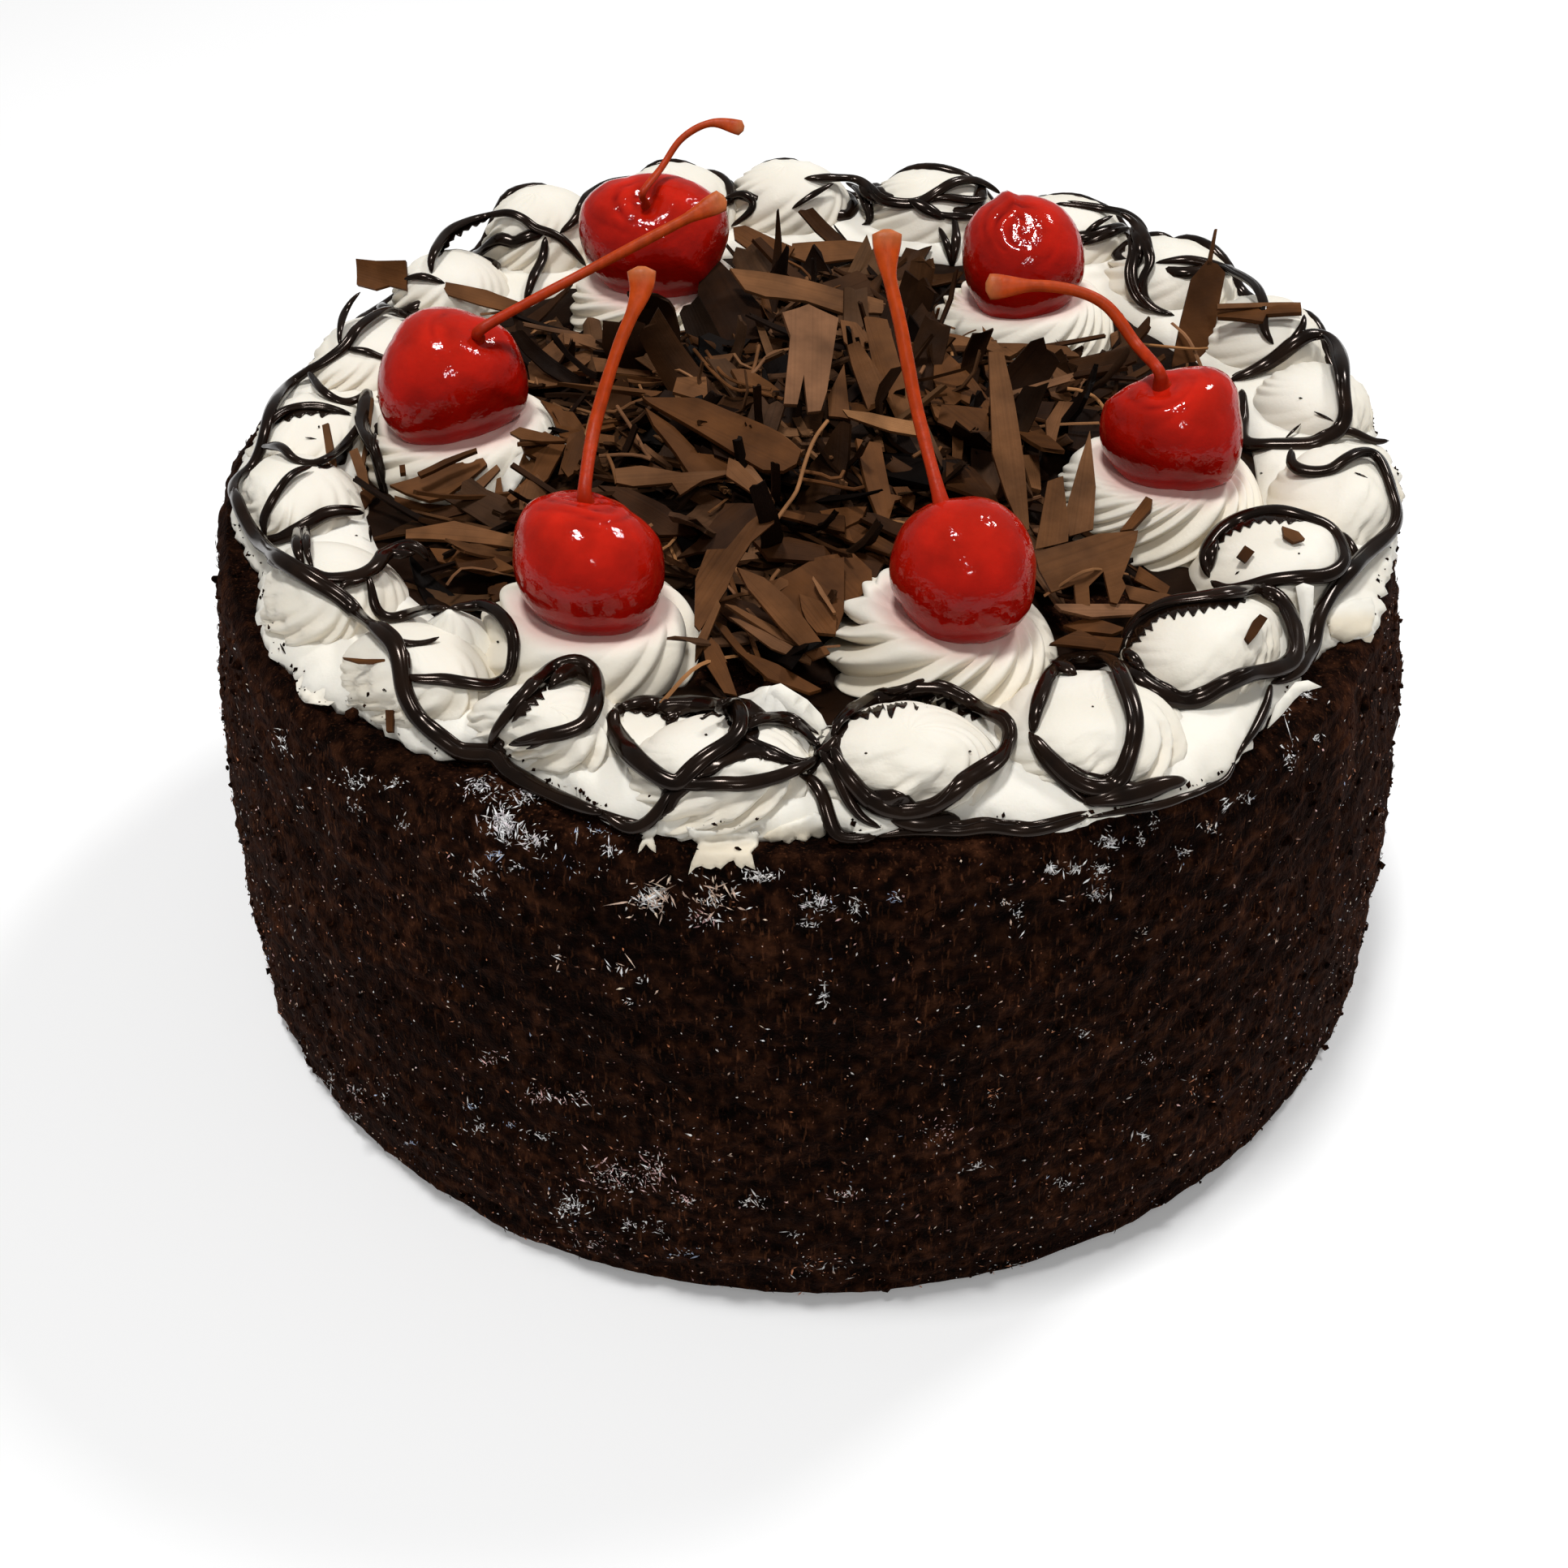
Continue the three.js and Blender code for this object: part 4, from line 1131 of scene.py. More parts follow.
# ---- rosettes, cherries and stems ----
# `lean` points out of the cherry's dimple, and `stem` runs from the cherry's centre.
TOPPINGS = {
    1: {"lean": (0.52, -0.17, 0.84), "stem": [(19.6, 7.1, 14.2), (31.6, 11.4, 18.9), (45.2, 16.2, 24.2)]},
    2: {"lean": (-0.04, 0.33, 0.94),
        "stem": [(0.5, 13.6, 15.7), (3.6, 20.5, 23.6), (6.9, 25.9, 29.8), (7.2, 28.6, 32.9)]},
    3: {"lean": (-0.3, 0.5, 0.8),
        "stem": [(-6.6, 16.8, 17.3), (-8.9, 24.4, 26.2), (-10.7, 29.7, 32.4), (-10.9, 33.5, 36.8)]},
    4: {"lean": (-0.3, -0.05, 0.95),
        "stem": [(-6.3, 5.6, 12.3), (-11.4, 9.7, 17.2), (-19, 11.3, 19.2), (-29.9, 11.2, 19.3)]},
    5: {"lean": (-0.11, -0.53, 0.84), "stem": None},
    6: {"lean": (-0.06, -0.45, 0.89),
        "stem": [(2.2, 0.6, 13.8), (5.9, 4.6, 17.6), (11.2, 6.4, 19.7), (17.2, 5.8, 18.9)]},
}
# Outlines of the cherries in the picture, in pixels.
CHERRY_OUTLINES = {
    1: "466,476 471,449 485,422 501,395 523,382 550,379 588,388 629,410 "
       "643,438 650,476 647,499 621,523 583,541 539,554 501,548 477,524",
    2: "633,674 636,646 652,618 683,605 716,602 750,611 783,633 813,665 "
       "819,696 816,730 803,761 775,782 736,787 691,778 660,758 639,724",
    3: "1095,706 1099,674 1114,642 1142,617 1184,609 1226,617 1258,643 1273,678 "
       "1276,720 1268,754 1244,781 1195,796 1153,792 1128,770 1110,744 1098,724",
    4: "1356,519 1362,494 1378,482 1405,468 1433,459 1465,452 1493,453 1511,463 1523,483 "
       "1525,509 1529,538 1526,566 1513,594 1485,604 1444,606 1405,599 1377,578 1360,553",
    5: "1186,311 1189,282 1204,259 1224,246 1236,235 1251,242 1282,245 1309,259 1328,287 "
       "1335,317 1333,346 1318,371 1286,394 1253,403 1219,393 1201,368 1189,337",
    6: "713,276 717,255 726,242 745,227 772,220 810,216 848,223 881,243 895,257 "
       "899,282 891,313 879,338 869,359 843,368 799,370 756,358 732,336 718,307",
}
# The least and the most that a cherry is stretched to reach its outline.
LEAST_STRETCH = 0.94
MOST_STRETCH = 1.3
CHERRY_FLATNESS = 0.94
# How far a cherry presses its rosette down.
PRESSED_DEPTH = 3.2
# Number of pleats of each rosette, their depth, and the side where they are shallow.
ROSETTE_PLEATS = {1: (13, 0.08, 270), 2: (11, 0.17, 215), 3: (13, 0.22, 330), 4: (24, 0.13, 90),
                  5: (18, 0.17, 180), 6: (18, 0.13, 90)}
STEM_RADII = {1: 0.85, 2: 0.95, 3: 1.0, 4: 0.95, 6: 0.65}
STEM_STEP = 0.7


def cherry_ball(number):
    """Centre and radius of a cherry, from its CAD node."""
    low, high = node_box(f"cherry_{number}")
    return (low + high) / 2, (high - low)[:2].max() / 2


def rosette_shape(number):
    """A rosette with the hollow that its cherry is pressed into, stained by the juice."""
    low, high = node_box(f"rosette_{number}")
    ridges, depth, calm_side = ROSETTE_PLEATS[number]
    rings, tint = swirl_rings(
        radius=ROSETTE_RADIUS, height=ROSETTE_HEIGHT, ridges=ridges, depth=depth, twist=2.1,
        calm_side=calm_side, sharpness=1.0, rng=np.random.default_rng(40 + number), columns=240, rows=40)
    rings = rings + ((low[0] + high[0]) / 2, (low[1] + high[1]) / 2, low[2])
    centre, radius = cherry_ball(number)
    aside = np.linalg.norm((rings - centre)[..., :2], axis=-1)
    pressed = PRESSED_DEPTH * (1 - ramp(radius - 3, radius + 4, aside))
    rings[..., 2] -= pressed * ramp(0, 5, rings[..., 2] - low[2])
    away = np.linalg.norm(rings - centre, axis=-1) - radius
    tint[..., 0] = STAIN_STRENGTH * (1 - ramp(-0.5, 5.0, away))
    return one_body(rings, tint)


def stretched_to_outline(rings, centre, outline):
    """Stretches a ball across the line of sight, out to its outline in the picture."""
    rays = photo_rays(outline)
    traced = EYE + rays * ((centre - EYE) @ EYE_FORWARD / (rays @ EYE_FORWARD))[:, None] - centre
    offset = rings - centre
    reaches, angles = [], []
    for part in (traced, offset):
        aside, above = part @ EYE_RIGHT, part @ EYE_UP
        reaches.append(np.hypot(aside, above))
        angles.append(np.arctan2(above, aside))
    order = np.argsort(angles[0])
    wanted = np.interp(angles[1], angles[0][order], reaches[0][order], period=2 * np.pi)
    sectors = np.linspace(-np.pi, np.pi, 24, endpoint=False)
    near = np.abs((angles[1][..., None] - sectors + np.pi) % (2 * np.pi) - np.pi) < 0.2
    own = np.interp(angles[1], sectors, (reaches[1][..., None] * near).max((0, 1)), period=2 * np.pi)
    grown = (wanted / own).clip(LEAST_STRETCH, MOST_STRETCH) - 1
    across = offset - (offset @ EYE_FORWARD)[..., None] * EYE_FORWARD
    return rings + across * grown[..., None]


def cherry_shape(number):
    """A dented ball with a dimple, a few wrinkles round it, and its outline from the picture."""
    centre, size = cherry_ball(number)
    rng = np.random.default_rng(60 + number)
    rows, columns = 48, 72
    polar = np.linspace(0.02, np.pi - 0.02, rows)[:, None]
    around = np.linspace(0, 2 * np.pi, columns, endpoint=False)[None]
    ball = np.stack([np.sin(polar) * np.cos(around), np.sin(polar) * np.sin(around),
                     CHERRY_FLATNESS * np.cos(polar) * np.ones_like(around)], axis=-1)
    offset = rng.uniform(0, 500, 3)
    flat = ball.reshape(-1, 3) + offset
    wander = noise(flat, 0.5, 1).reshape(rows, columns)
    waves = np.abs(np.sin(13 * polar + 1.6 * wander + 1.2 * np.sin(around + offset[0])))
    patchy = ramp(-0.5, 0.3, noise(flat, 0.9, 5)).reshape(rows, columns)
    wrinkle = (1 - waves) ** 2 * (np.exp(-((polar - 0.35) / 0.42) ** 2) * patchy)
    dimple = 0.11 * np.exp(-((np.sin(polar) / 0.34) ** 2)) * (polar < np.pi / 2)
    uneven = 0.035 * rough_noise(flat, 1.1, 2, 7).reshape(rows, columns)
    ball = ball * (1 + uneven - 0.035 * wrinkle)[..., None]
    ball[..., 2] -= dimple
    lean = Vector(unit(TOPPINGS[number]["lean"]))
    turn = np.array(Vector(UP).rotation_difference(lean).to_matrix())
    rings = ball @ turn.T * size * 0.985
    rings += centre - (rings.reshape(-1, 3).max(0) + rings.reshape(-1, 3).min(0)) / 2
    rings = stretched_to_outline(rings, centre, pixel_list(CHERRY_OUTLINES[number]))
    # The height sets the cherry's painted light and the wrinkle its painted shade.
    height = (rings[..., 2] - rings[..., 2].min()) / np.ptp(rings[..., 2])
    return one_body(rings, np.stack([wrinkle, height, wrinkle], axis=-1))


def stem_shape(number):
    """A stalk that is thick at the cherry, thin in the middle and flattened at its tip."""
    topping = TOPPINGS[number]
    centre, size = cherry_ball(number)
    lean = unit(topping["lean"])
    points = [lean * size * 0.66, lean * size * 0.86, lean * size * 1.1, *topping["stem"]]
    path = curve_through(points, STEM_STEP) + centre
    t = np.linspace(0, 1, len(path))
    length = STEM_STEP * len(path)
    from_tip = (1 - t) * length
    foot = np.exp(-(t * length / 2.6) ** 2)
    tip = ramp(8, 0.8, from_tip)
    round_off = np.sqrt(np.clip(1 - (1 - np.clip(from_tip / 0.7, 0, 1)) ** 2, 0.1, 1))
    rng = np.random.default_rng(80 + number)
    wobble = 1 + 0.12 * noise(path + rng.uniform(0, 99), 5, 2)
    radius = STEM_RADII[number]
    wide = radius * (wobble + foot + 1.2 * tip) * round_off
    high = radius * (0.8 * wobble + 0.8 * foot - 0.1 * tip) * round_off
    rings = tube_rings(path, np.tile(-EYE_FORWARD, (len(path), 1)), wide, high, 14)
    return one_body(rings, np.broadcast_to(t[:, None, None], rings.shape))


# ---- chocolate sauce ----
# Ropes of sauce as they lie in the picture: half their width in mm, and the pixels of their middle
# lines.
OUTER_ROPES = [
    (1.2, "288,603 293,617 303,640 317,663 337,684 360,700 390,720 417,737 443,760 470,780 488,798 495,827 "
          "498,850 510,877 527,897 547,913 567,927 590,930 610,930 623,947 647,963 680,980 713,993 "
          "745,1003"),
    (1.1, "745,1003 763,1017 780,1022 800,1013 813,997 823,980 832,967"),
    (1.2, "985,956 1002,961 1013,980 1021,1008 1031,1030 1050,1034 1080,1031"),
    (0.9, "1080,1031 1130,1024 1180,1024 1220,1019 1262,1024 1300,1017 1340,1006"),
    (1.2, "1335,990 1360,986 1400,978 1436,966 1462,962"),
    (0.5, "1340,1008 1380,1000 1431,991 1463,981 1490,970 1511,959 1522,938"),
    (0.8, "1522,938 1530,922 1546,898 1560,868 1566,842"),
    (1.1, "1566,842 1590,832 1606,816 1618,796 1624,765 1636,739 1656,712 1690,678 1705,664 1717,648 "
          "1720,628 1714,605 1708,586 1700,568 1690,559 1674,559 1656,568 1640,580 1619,583 1601,580 "
          "1591,571 1592,555"),
    (1.0, "300,634 291,616 289,600 296,588 310,577 318,563 323,550 328,530 333,510 344,490 359,474 379,459 "
          "400,447 420,433 430,423 440,407 457,393 477,383 497,387 508,398"),
    (0.6, "420,430 418,417 422,393 432,373 444,360"),
]
LEFT_ROPES = [
    (1.0, "427,430 450,433 467,440 480,442"),
    (0.9, "380,458 393,477 407,490 423,497 440,493 452,482"),
    (0.9, "328,540 333,523 348,510 370,503 393,502 417,507 432,512"),
    (0.9, "322,550 347,552 363,567 385,572 405,564 423,550 434,537 445,522 452,503 452,480"),
    (1.2, "452,480 450,505 445,523 450,537 460,550 467,570 472,597 477,617"),
    (0.9, "327,665 325,643 333,623 345,602 360,585 385,574"),
    (1.0, "317,668 337,667 360,657 383,643 400,634 420,631 448,632"),
    (0.8, "368,650 366,668 368,683 374,700"),
    (0.7, "378,648 377,668 379,683 386,703"),
    (1.1, "350,693 380,704 400,713 427,713 447,709 463,699 472,687 490,678 507,673 520,680 528,692"),
    (0.9, "417,733 420,722 440,717 455,712"),
    (1.0, "452,706 457,722 460,742 467,757 483,763 503,758 527,752 553,750"),
    (1.1, "553,750 577,748 598,747 615,757 628,773 634,792 633,812 627,833 607,844 578,843 547,838 518,837 "
          "499,833"),
    (0.8, "478,772 484,787 503,794 527,792 541,785"),
]
FRONT_ROPES = [
    (1.2, "603,922 610,903 627,880 647,857 665,836 687,820 710,814 727,822 736,840 735,858 730,877 720,893 "
          "700,902 677,907 650,912 627,918"),
    (1.3, "760,873 790,868 817,871 847,869 880,871 908,874 913,890 908,907 893,920 873,933 853,950 837,966 "
          "820,962 803,951 780,932 763,912 754,890 760,873"),
    (1.1, "832,967 863,967 890,966 913,967 937,963 960,957 980,949 1000,940 1010,928"),
    (1.0, "912,905 925,893 940,887 960,886 980,893 997,908 1012,920"),
    (0.9, "912,905 937,918 957,927 977,937 1000,938"),
    (0.9, "850,958 868,941 890,928 912,912"),
    (1.2, "1025,912 1035,890 1062,870 1100,858 1130,850 1160,850 1190,863 1215,878 1240,890 1246,908 "
          "1236,930 1215,948 1190,964 1165,984 1140,997 1105,1001 1075,990 1055,970 1037,945 1025,920"),
    (0.8, "1010,925 1022,940 1034,960 1045,985 1062,1008 1085,1020"),
    (1.2, "1272,905 1276,880 1283,858 1292,835 1306,817 1330,812 1357,812 1375,820 1386,845 1396,870 "
          "1400,895 1396,920 1388,945 1380,963 1362,972 1338,969 1315,955 1290,930 1272,905"),
    (0.8, "1268,902 1285,935 1310,962 1330,982 1345,992"),
    (1.3, "1380,805 1390,780 1410,760 1440,745 1480,739 1520,732 1553,727 1575,735 1590,760 1596,788 "
          "1592,815 1568,827 1535,832 1505,845 1480,860 1450,863 1420,850 1395,832 1382,815"),
    (1.1, "1490,712 1484,690 1492,668 1510,650 1540,636 1575,631 1610,639 1638,650 1652,670 1655,693 "
          "1636,709 1600,712 1565,716 1535,725 1510,727 1492,716"),
    (0.8, "1652,655 1664,670 1672,690 1680,684 1695,672"),
]
# Short, thick ropes where others run together.
WEBS = [
    (2.0, "676,850 690,834 708,826 722,832 732,846"),
    (1.9, "903,872 911,890 914,906"),
    (1.5, "916,892 930,890 945,886"),
    (1.8, "1052,968 1072,985 1098,998 1135,1006"),
    (2.1, "1098,1010 1130,1014 1170,1010 1185,1016"),
    (1.6, "1003,930 1022,924 1031,906"),
    (2.3, "1296,816 1310,822 1326,832"),
    (2.1, "1334,988 1360,980 1392,976 1412,972"),
    (1.7, "607,905 615,918 622,934"),
    (1.6, "815,960 830,966 842,972"),
    (1.5, "1385,800 1394,812 1410,826"),
    (1.7, "1585,800 1600,808 1612,800"),
    (1.8, "1060,228 1072,240 1088,250"),
    (1.9, "1120,246 1142,258 1164,270"),
    (1.8, "330,690 350,696 372,706"),
    (1.6, "470,678 490,684 512,682"),
    (1.6, "1395,280 1404,300 1402,330"),
    (1.4, "500,800 498,825 503,845"),
    (1.6, "1500,664 1492,684 1490,706"),
]
# Outlines of the flat masses where ropes run together.
MASSES = [
    "884,862 905,858 925,862 938,872 945,878 960,880 975,882 990,892 1000,908 1008,918 1000,920 985,905 "
    "970,894 950,890 938,897 934,910 945,922 962,930 980,936 1000,932 1003,938 985,948 965,942 950,938 "
    "930,934 910,938 893,945 880,955 860,962 845,966 835,960 855,948 875,935 893,925 898,912 896,895 "
    "893,882 880,876",
    "748,880 760,866 800,862 850,860 890,858 905,862 905,874 893,882 880,877 850,878 838,882 835,888 "
    "826,894 820,892 820,882 800,880 765,882 762,890 752,896",
    "810,948 832,960 850,958 880,962 850,975 838,985 830,998 815,1010 800,1018 785,1015 800,1005 812,990 "
    "815,975 800,955",
    "1000,915 1012,905 1012,895 1025,895 1030,898 1045,880 1048,895 1040,905 1035,920 1040,935 1050,955 "
    "1040,950 1030,935 1020,932 1010,945 1000,955 985,955 1000,938 1003,925",
    "1046,962 1060,975 1100,972 1120,980 1140,1000 1110,1012 1090,1006 1070,992 1052,985",
    "696,975 720,990 745,998 770,1006 795,1012 790,1020 770,1022 745,1012 715,998",
    "656,836 684,814 712,809 730,818 742,840 738,852 728,846 716,836 700,830 684,836 668,846",
]
# Dots and dashes of sauce on the cream: from and to.
SPECKS = [
    "393,524 393,528", "376,539 390,541", "437,660 441,660", "455,646 457,668", "471,850 475,850",
    "1600,490 1605,491", "1583,541 1603,522", "1619,507 1643,519", "1669,582 1685,589",
    "1648,578 1652,578", "1552,583 1556,583", "1599,682 1602,682", "1522,708 1527,704",
    "1065,928 1069,928", "1193,926 1197,926", "868,905 872,906", "778,912 782,913", "345,793 352,806",
    "1345,870 1348,871", "612,790 615,792",
]
SPECK_WIDTH = 0.45
BACK_ROPES = [
    (1.4, "1515,470 1535,462 1556,452 1576,439 1594,424 1613,414 1634,415 1648,430 1653,458 1656,491 "
          "1657,514 1650,530 1634,540 1616,548 1594,549 1570,549 1534,547 1531,516 1530,480"),
    (0.9, "1625,546 1644,534 1662,531 1679,539 1696,545 1711,543"),
    (1.0, "1424,324 1457,321 1484,325 1509,332 1533,343 1549,356 1557,376 1556,394 1560,412 1569,424"),
    (1.0, "1380,262 1396,274 1409,300 1417,324 1408,345 1410,369 1427,382"),
    (0.9, "1607,388 1605,402 1594,420 1576,438 1550,455 1518,463"),
    (1.0, "532,337 532,318 551,289 577,273 608,265 628,263 647,271 659,281 680,288 698,300 722,328"),
    (1.0, "672,292 669,318 657,343 647,372"),
    (1.0, "690,287 708,272 723,251 736,238 757,227 803,219"),
    (0.9, "495,345 519,341 548,349"),
    (0.9, "893,244 915,239 929,250 922,264 901,279"),
    (1.0, "991,220 1027,220 1055,222 1072,235 1085,247 1103,252 1122,253 1138,249 1154,238 1173,227 "
          "1196,223 1215,228 1233,239"),
    (0.9, "1042,225 1058,235 1070,253 1073,273 1062,277"),
    (0.8, "1027,226 1007,237 991,247 976,257"),
    (0.9, "1138,250 1160,244 1192,247 1216,244"),
    (0.9, "1150,262 1170,267 1199,268 1220,266"),
    (1.0, "1176,268 1178,298 1173,330"),
    (0.8, "1157,280 1168,305 1173,330"),
    (1.0, "1301,251 1326,254 1358,259 1384,265 1403,280 1413,300 1420,324"),
    (0.9, "1333,302 1349,296 1371,287 1393,281"),
    (0.8, "1333,291 1352,276 1371,266"),
    (1.0, "1396,285 1400,311 1396,337 1403,362 1422,381 1447,389"),
]
ROPE_LIFT = 0.3
TALLEST_ROPE = 1.1
# Steps along a rope: in pixels while it is cast on the cream, then in mm.
ROPE_STEP_PIXELS = 4.5
ROPE_STEP = 0.7
# Fewest steps of a rope that has strands beside it, and of a strand.
SHORTEST_ROPE = 24
SHORTEST_STRAND = 12


def lay_rope(shape, points, normals, half_width, rng):
    """A rope of sauce on a surface: uneven, rounded at its ends and a little sunk in."""
    middle = smoothed(points, 2)
    up = unit(smoothed(normals, 6) + (0, -0.15, 0.5))
    count = len(middle)
    uneven = 1 + 0.28 * noise(middle + rng.uniform(0, 99), 10, 1) + 0.03 * noise(middle, 3.0, 2)
    end = np.minimum(np.arange(count), np.arange(count)[::-1]) / max(3.0, half_width * 2.5)
    taper = np.sqrt(np.clip(1 - (1 - np.clip(end, 0, 1)) ** 2, 0.04, 1)) * (0.6 + 0.4 * ramp(0, 3, end))
    wide = half_width * uneven * taper
    high = np.minimum(0.68 * half_width * uneven, TALLEST_ROPE) * taper
    shape.loft(tube_rings(middle + up * ROPE_LIFT * high[:, None], up, wide, high, 10))


def ropes_from_photo(shape, surface, ropes, rng):
    """Lays ropes, and strands beside the longer ones."""
    for half_width, text in ropes:
        dense = curve_through(pixel_list(text), ROPE_STEP_PIXELS)
        even = curve_through(np.hstack(surface.seen_at(dense)), ROPE_STEP)
        lay_rope(shape, even[:, :3], even[:, 3:], half_width, rng)
        if len(even) >= SHORTEST_ROPE:
            strands(shape, even, half_width, rng)


def strands(shape, even, half_width, rng):
    """Two thin threads that wander along a rope, given as points and normals side by side."""
    for _ in range(2):
        start = rng.integers(0, len(even) // 3)
        stop = len(even) - rng.integers(0, len(even) // 3)
        if stop - start < SHORTEST_STRAND:
            continue
        points, normals = even[start:stop, :3], unit(even[start:stop, 3:])
        side = np.cross(unit(np.gradient(points, axis=0)), normals)
        sway = noise(points + rng.uniform(0, 99), 14, 4) * 0.9 + rng.uniform(-0.8, 0.8)
        shifted = points + side * (sway * half_width * 0.9)[:, None] + normals * half_width * 0.45
        lay_rope(shape, shifted, even[start:stop, 3:], rng.uniform(0.35, 0.55), rng)


# Sauce that fills the gap between a rope and the star-cut edge of the cream: the side of the rope on
# which it lies, its width and the width of a tooth in pixels, and the rope's pixels.
POOLS = [
    (1, 26, 17, "1042,885 1065,868 1100,858 1130,851 1160,851 1190,864 1222,882"),
    (1, 20, 13, "1386,800 1394,780 1412,760 1440,746 1480,740 1520,733 1548,728"),
    (1, 22, 11, "630,890 645,862 667,836 690,820 712,816 728,826"),
    (1, 18, 22, "770,873 790,868 817,871 847,869 880,871 905,875"),
    (1, 15, 14, "1487,690 1494,668 1511,650 1540,637 1575,632 1608,640"),
    (1, 10, 12, "540,316 553,291 578,275 606,266"),
    (1, 14, 20, "392,575 410,567 425,553 436,538"),
    (1, 12, 16, "335,523 350,511 372,504 393,503 415,508"),
]
POOL_STEP_PIXELS = 2.2


def sauce_pool(shape, surface, side, width, tooth, text, rng):
    """A film of sauce beside a rope, with a toothed inner edge."""
    dense = curve_through(pixel_list(text), POOL_STEP_PIXELS)
    along = unit(np.gradient(dense, axis=0))
    inward = np.column_stack([-along[:, 1], along[:, 0]]) * side
    steps = np.arange(len(dense))
    place = steps * POOL_STEP_PIXELS / tooth
    wave = 1 - np.abs((place % 1) - 0.35) / 0.65
    strength = rng.uniform(0.45, 1.0, int(place[-1]) + 2)[place.astype(int)]
    ends = np.minimum(1, np.minimum(steps, steps[::-1]) / 8)
    depth = width * (0.3 + 0.7 * wave * strength) * ends + 1
    over, under = [], []
    for share in np.linspace(-0.1, 1, 8):
        film, toward_eye = surface.just_at(dense + inward * depth[:, None] * share)
        over.append(film + toward_eye * (0.3 + 0.4 * math.sqrt(1 - max(share, 0) ** 2)))
        under.append(film - toward_eye * 0.6)
    shape.loft(np.stack(over + under[::-1], axis=1))


# The swirls at the back, by angle, whose loops of sauce the picture doesn't show well.
HIDDEN_FROM = 24
HIDDEN_TO = 152
HIDDEN_LOOP_WIDTH = 1.3
OUTER_ROPE_WIDTH = 1.4
OUTER_ROPE_RADIUS = 98.5


def ropes_at_the_back(shape, surface, rng):
    """Loops round the swirls at the back, and a rope along the outer edge."""
    for spec in swirl_specs():
        angle = spec["angle"] % 360
        if not HIDDEN_FROM < angle < HIDDEN_TO:
            continue
        around = np.radians(np.arange(0, 361, 30))
        reach = spec["radius"] * spec["loop"] * (1.12 + 0.12 * np.sin(2 * around + spec["turn"]))
        local = np.column_stack([reach * np.cos(around), reach * np.sin(around), 0 * around])
        centre = on_circle(angle, spec["ring"], 0)
        dense = curve_through(turned_about_z(local, angle) + centre, 1.0)
        outside = np.linalg.norm(dense[:, :2], axis=1) > 84
        run = dense[outside] if outside.any() else dense
        turned = np.arctan2(run[:, 1] - centre[1], run[:, 0] - centre[0])
        order = np.argsort(np.unwrap(turned - math.radians(angle)))
        points, normals = surface.below(run[order][:, :2])
        lay_rope(shape, points, normals, HIDDEN_LOOP_WIDTH, rng)
    wave = on_circle(np.arange(HIDDEN_FROM - 16, HIDDEN_TO + 12, 1.0), OUTER_ROPE_RADIUS, 0)[:, :2]
    wave = wave * (1 + 0.018 * noise(np.column_stack([wave, wave[:, 0]]), 15, 6))[:, None]
    points, normals = surface.below(wave)
    lay_rope(shape, points, normals, OUTER_ROPE_WIDTH, rng)


def sauce_shape(surface):
    """All the sauce on the cream: ropes with their strands, specks, flat masses and pools."""
    rng = np.random.default_rng(5)
    shape = Shape()
    for ropes in (OUTER_ROPES, LEFT_ROPES, FRONT_ROPES, WEBS, BACK_ROPES):
        ropes_from_photo(shape, surface, ropes, rng)
    ropes_from_photo(shape, surface, [(SPECK_WIDTH, speck) for speck in SPECKS], rng)
    for outline in MASSES:
        smear(shape, surface, outline, half_thick=0.6, step=5.0)
    for side, width, tooth, rope in POOLS:
        sauce_pool(shape, surface, side, width, tooth, rope, rng)
    ropes_at_the_back(shape, surface, rng)
    return shape


# ---- shavings ----
HEAP_RADIUS = RING_INNER - 0.5
HEAP_EDGE = CAKE_TOP + 3.0
HEAP_MIDDLE = CAKE_TOP + 10.0
THREAD_STEP = 1.6
# Edges of the chocolate sharper than this, in degrees, stay crisp.
SHARP_CHOCOLATE = 35


def heap_height(distance):
    """Height of the heap's smooth surface at a distance from its middle."""
    slope = 0.5 + 0.5 * np.cos(np.pi * np.minimum(np.asarray(distance) / HEAP_RADIUS, 1))
    return HEAP_EDGE + (HEAP_MIDDLE - HEAP_EDGE) * slope


# How thickly the small shavings cover the core.
HEAP_COVER = 3.2
# The least lift of a flake: its lowest corner is then level with the heap.
LOWEST_FLAKE = 1.2

# Angle and radius of the heap's edge.
HEAP_LIMIT = [(0, 70), (40, 73), (75, 79), (95, 80), (120, 75), (150, 74), (185, 79), (212, 80),
              (222, 77), (255, 77), (272, 78), (300, 75), (320, 73), (360, 72)]


def heap_reach(points):
    """Radius of the heap's edge in the direction of each point."""
    angles, limits = np.array(HEAP_LIMIT).T
    return np.interp(np.degrees(np.arctan2(points[:, 1], points[:, 0])) % 360, angles, limits)


# Hollows of the heap in the picture, dark with shade: pixel and radius in mm. Strips there sink and get
# painted shade.
HOLLOWS = [((1045, 575), 11), ((905, 445), 7), ((760, 555), 6), ((960, 590), 7), ((1185, 555), 6),
           ((1010, 650), 8), ((1030, 470), 5), ((1340, 760), 6), ((800, 640), 5), ((900, 760), 5)]
HOLLOW_DEPTH = 2.5
HEAP_ROWS = 40
HEAP_COLUMNS = 160


def hollow(points):
    """1 in the middle of a hollow, 0 outside them all."""
    depth = np.zeros(len(points))
    for pixel, radius in HOLLOWS:
        aside = np.linalg.norm((points - at_height([pixel], HEAP_MIDDLE))[:, :2], axis=1)
        depth = np.maximum(depth, 1 - ramp(radius * 0.4, radius, aside))
    return depth


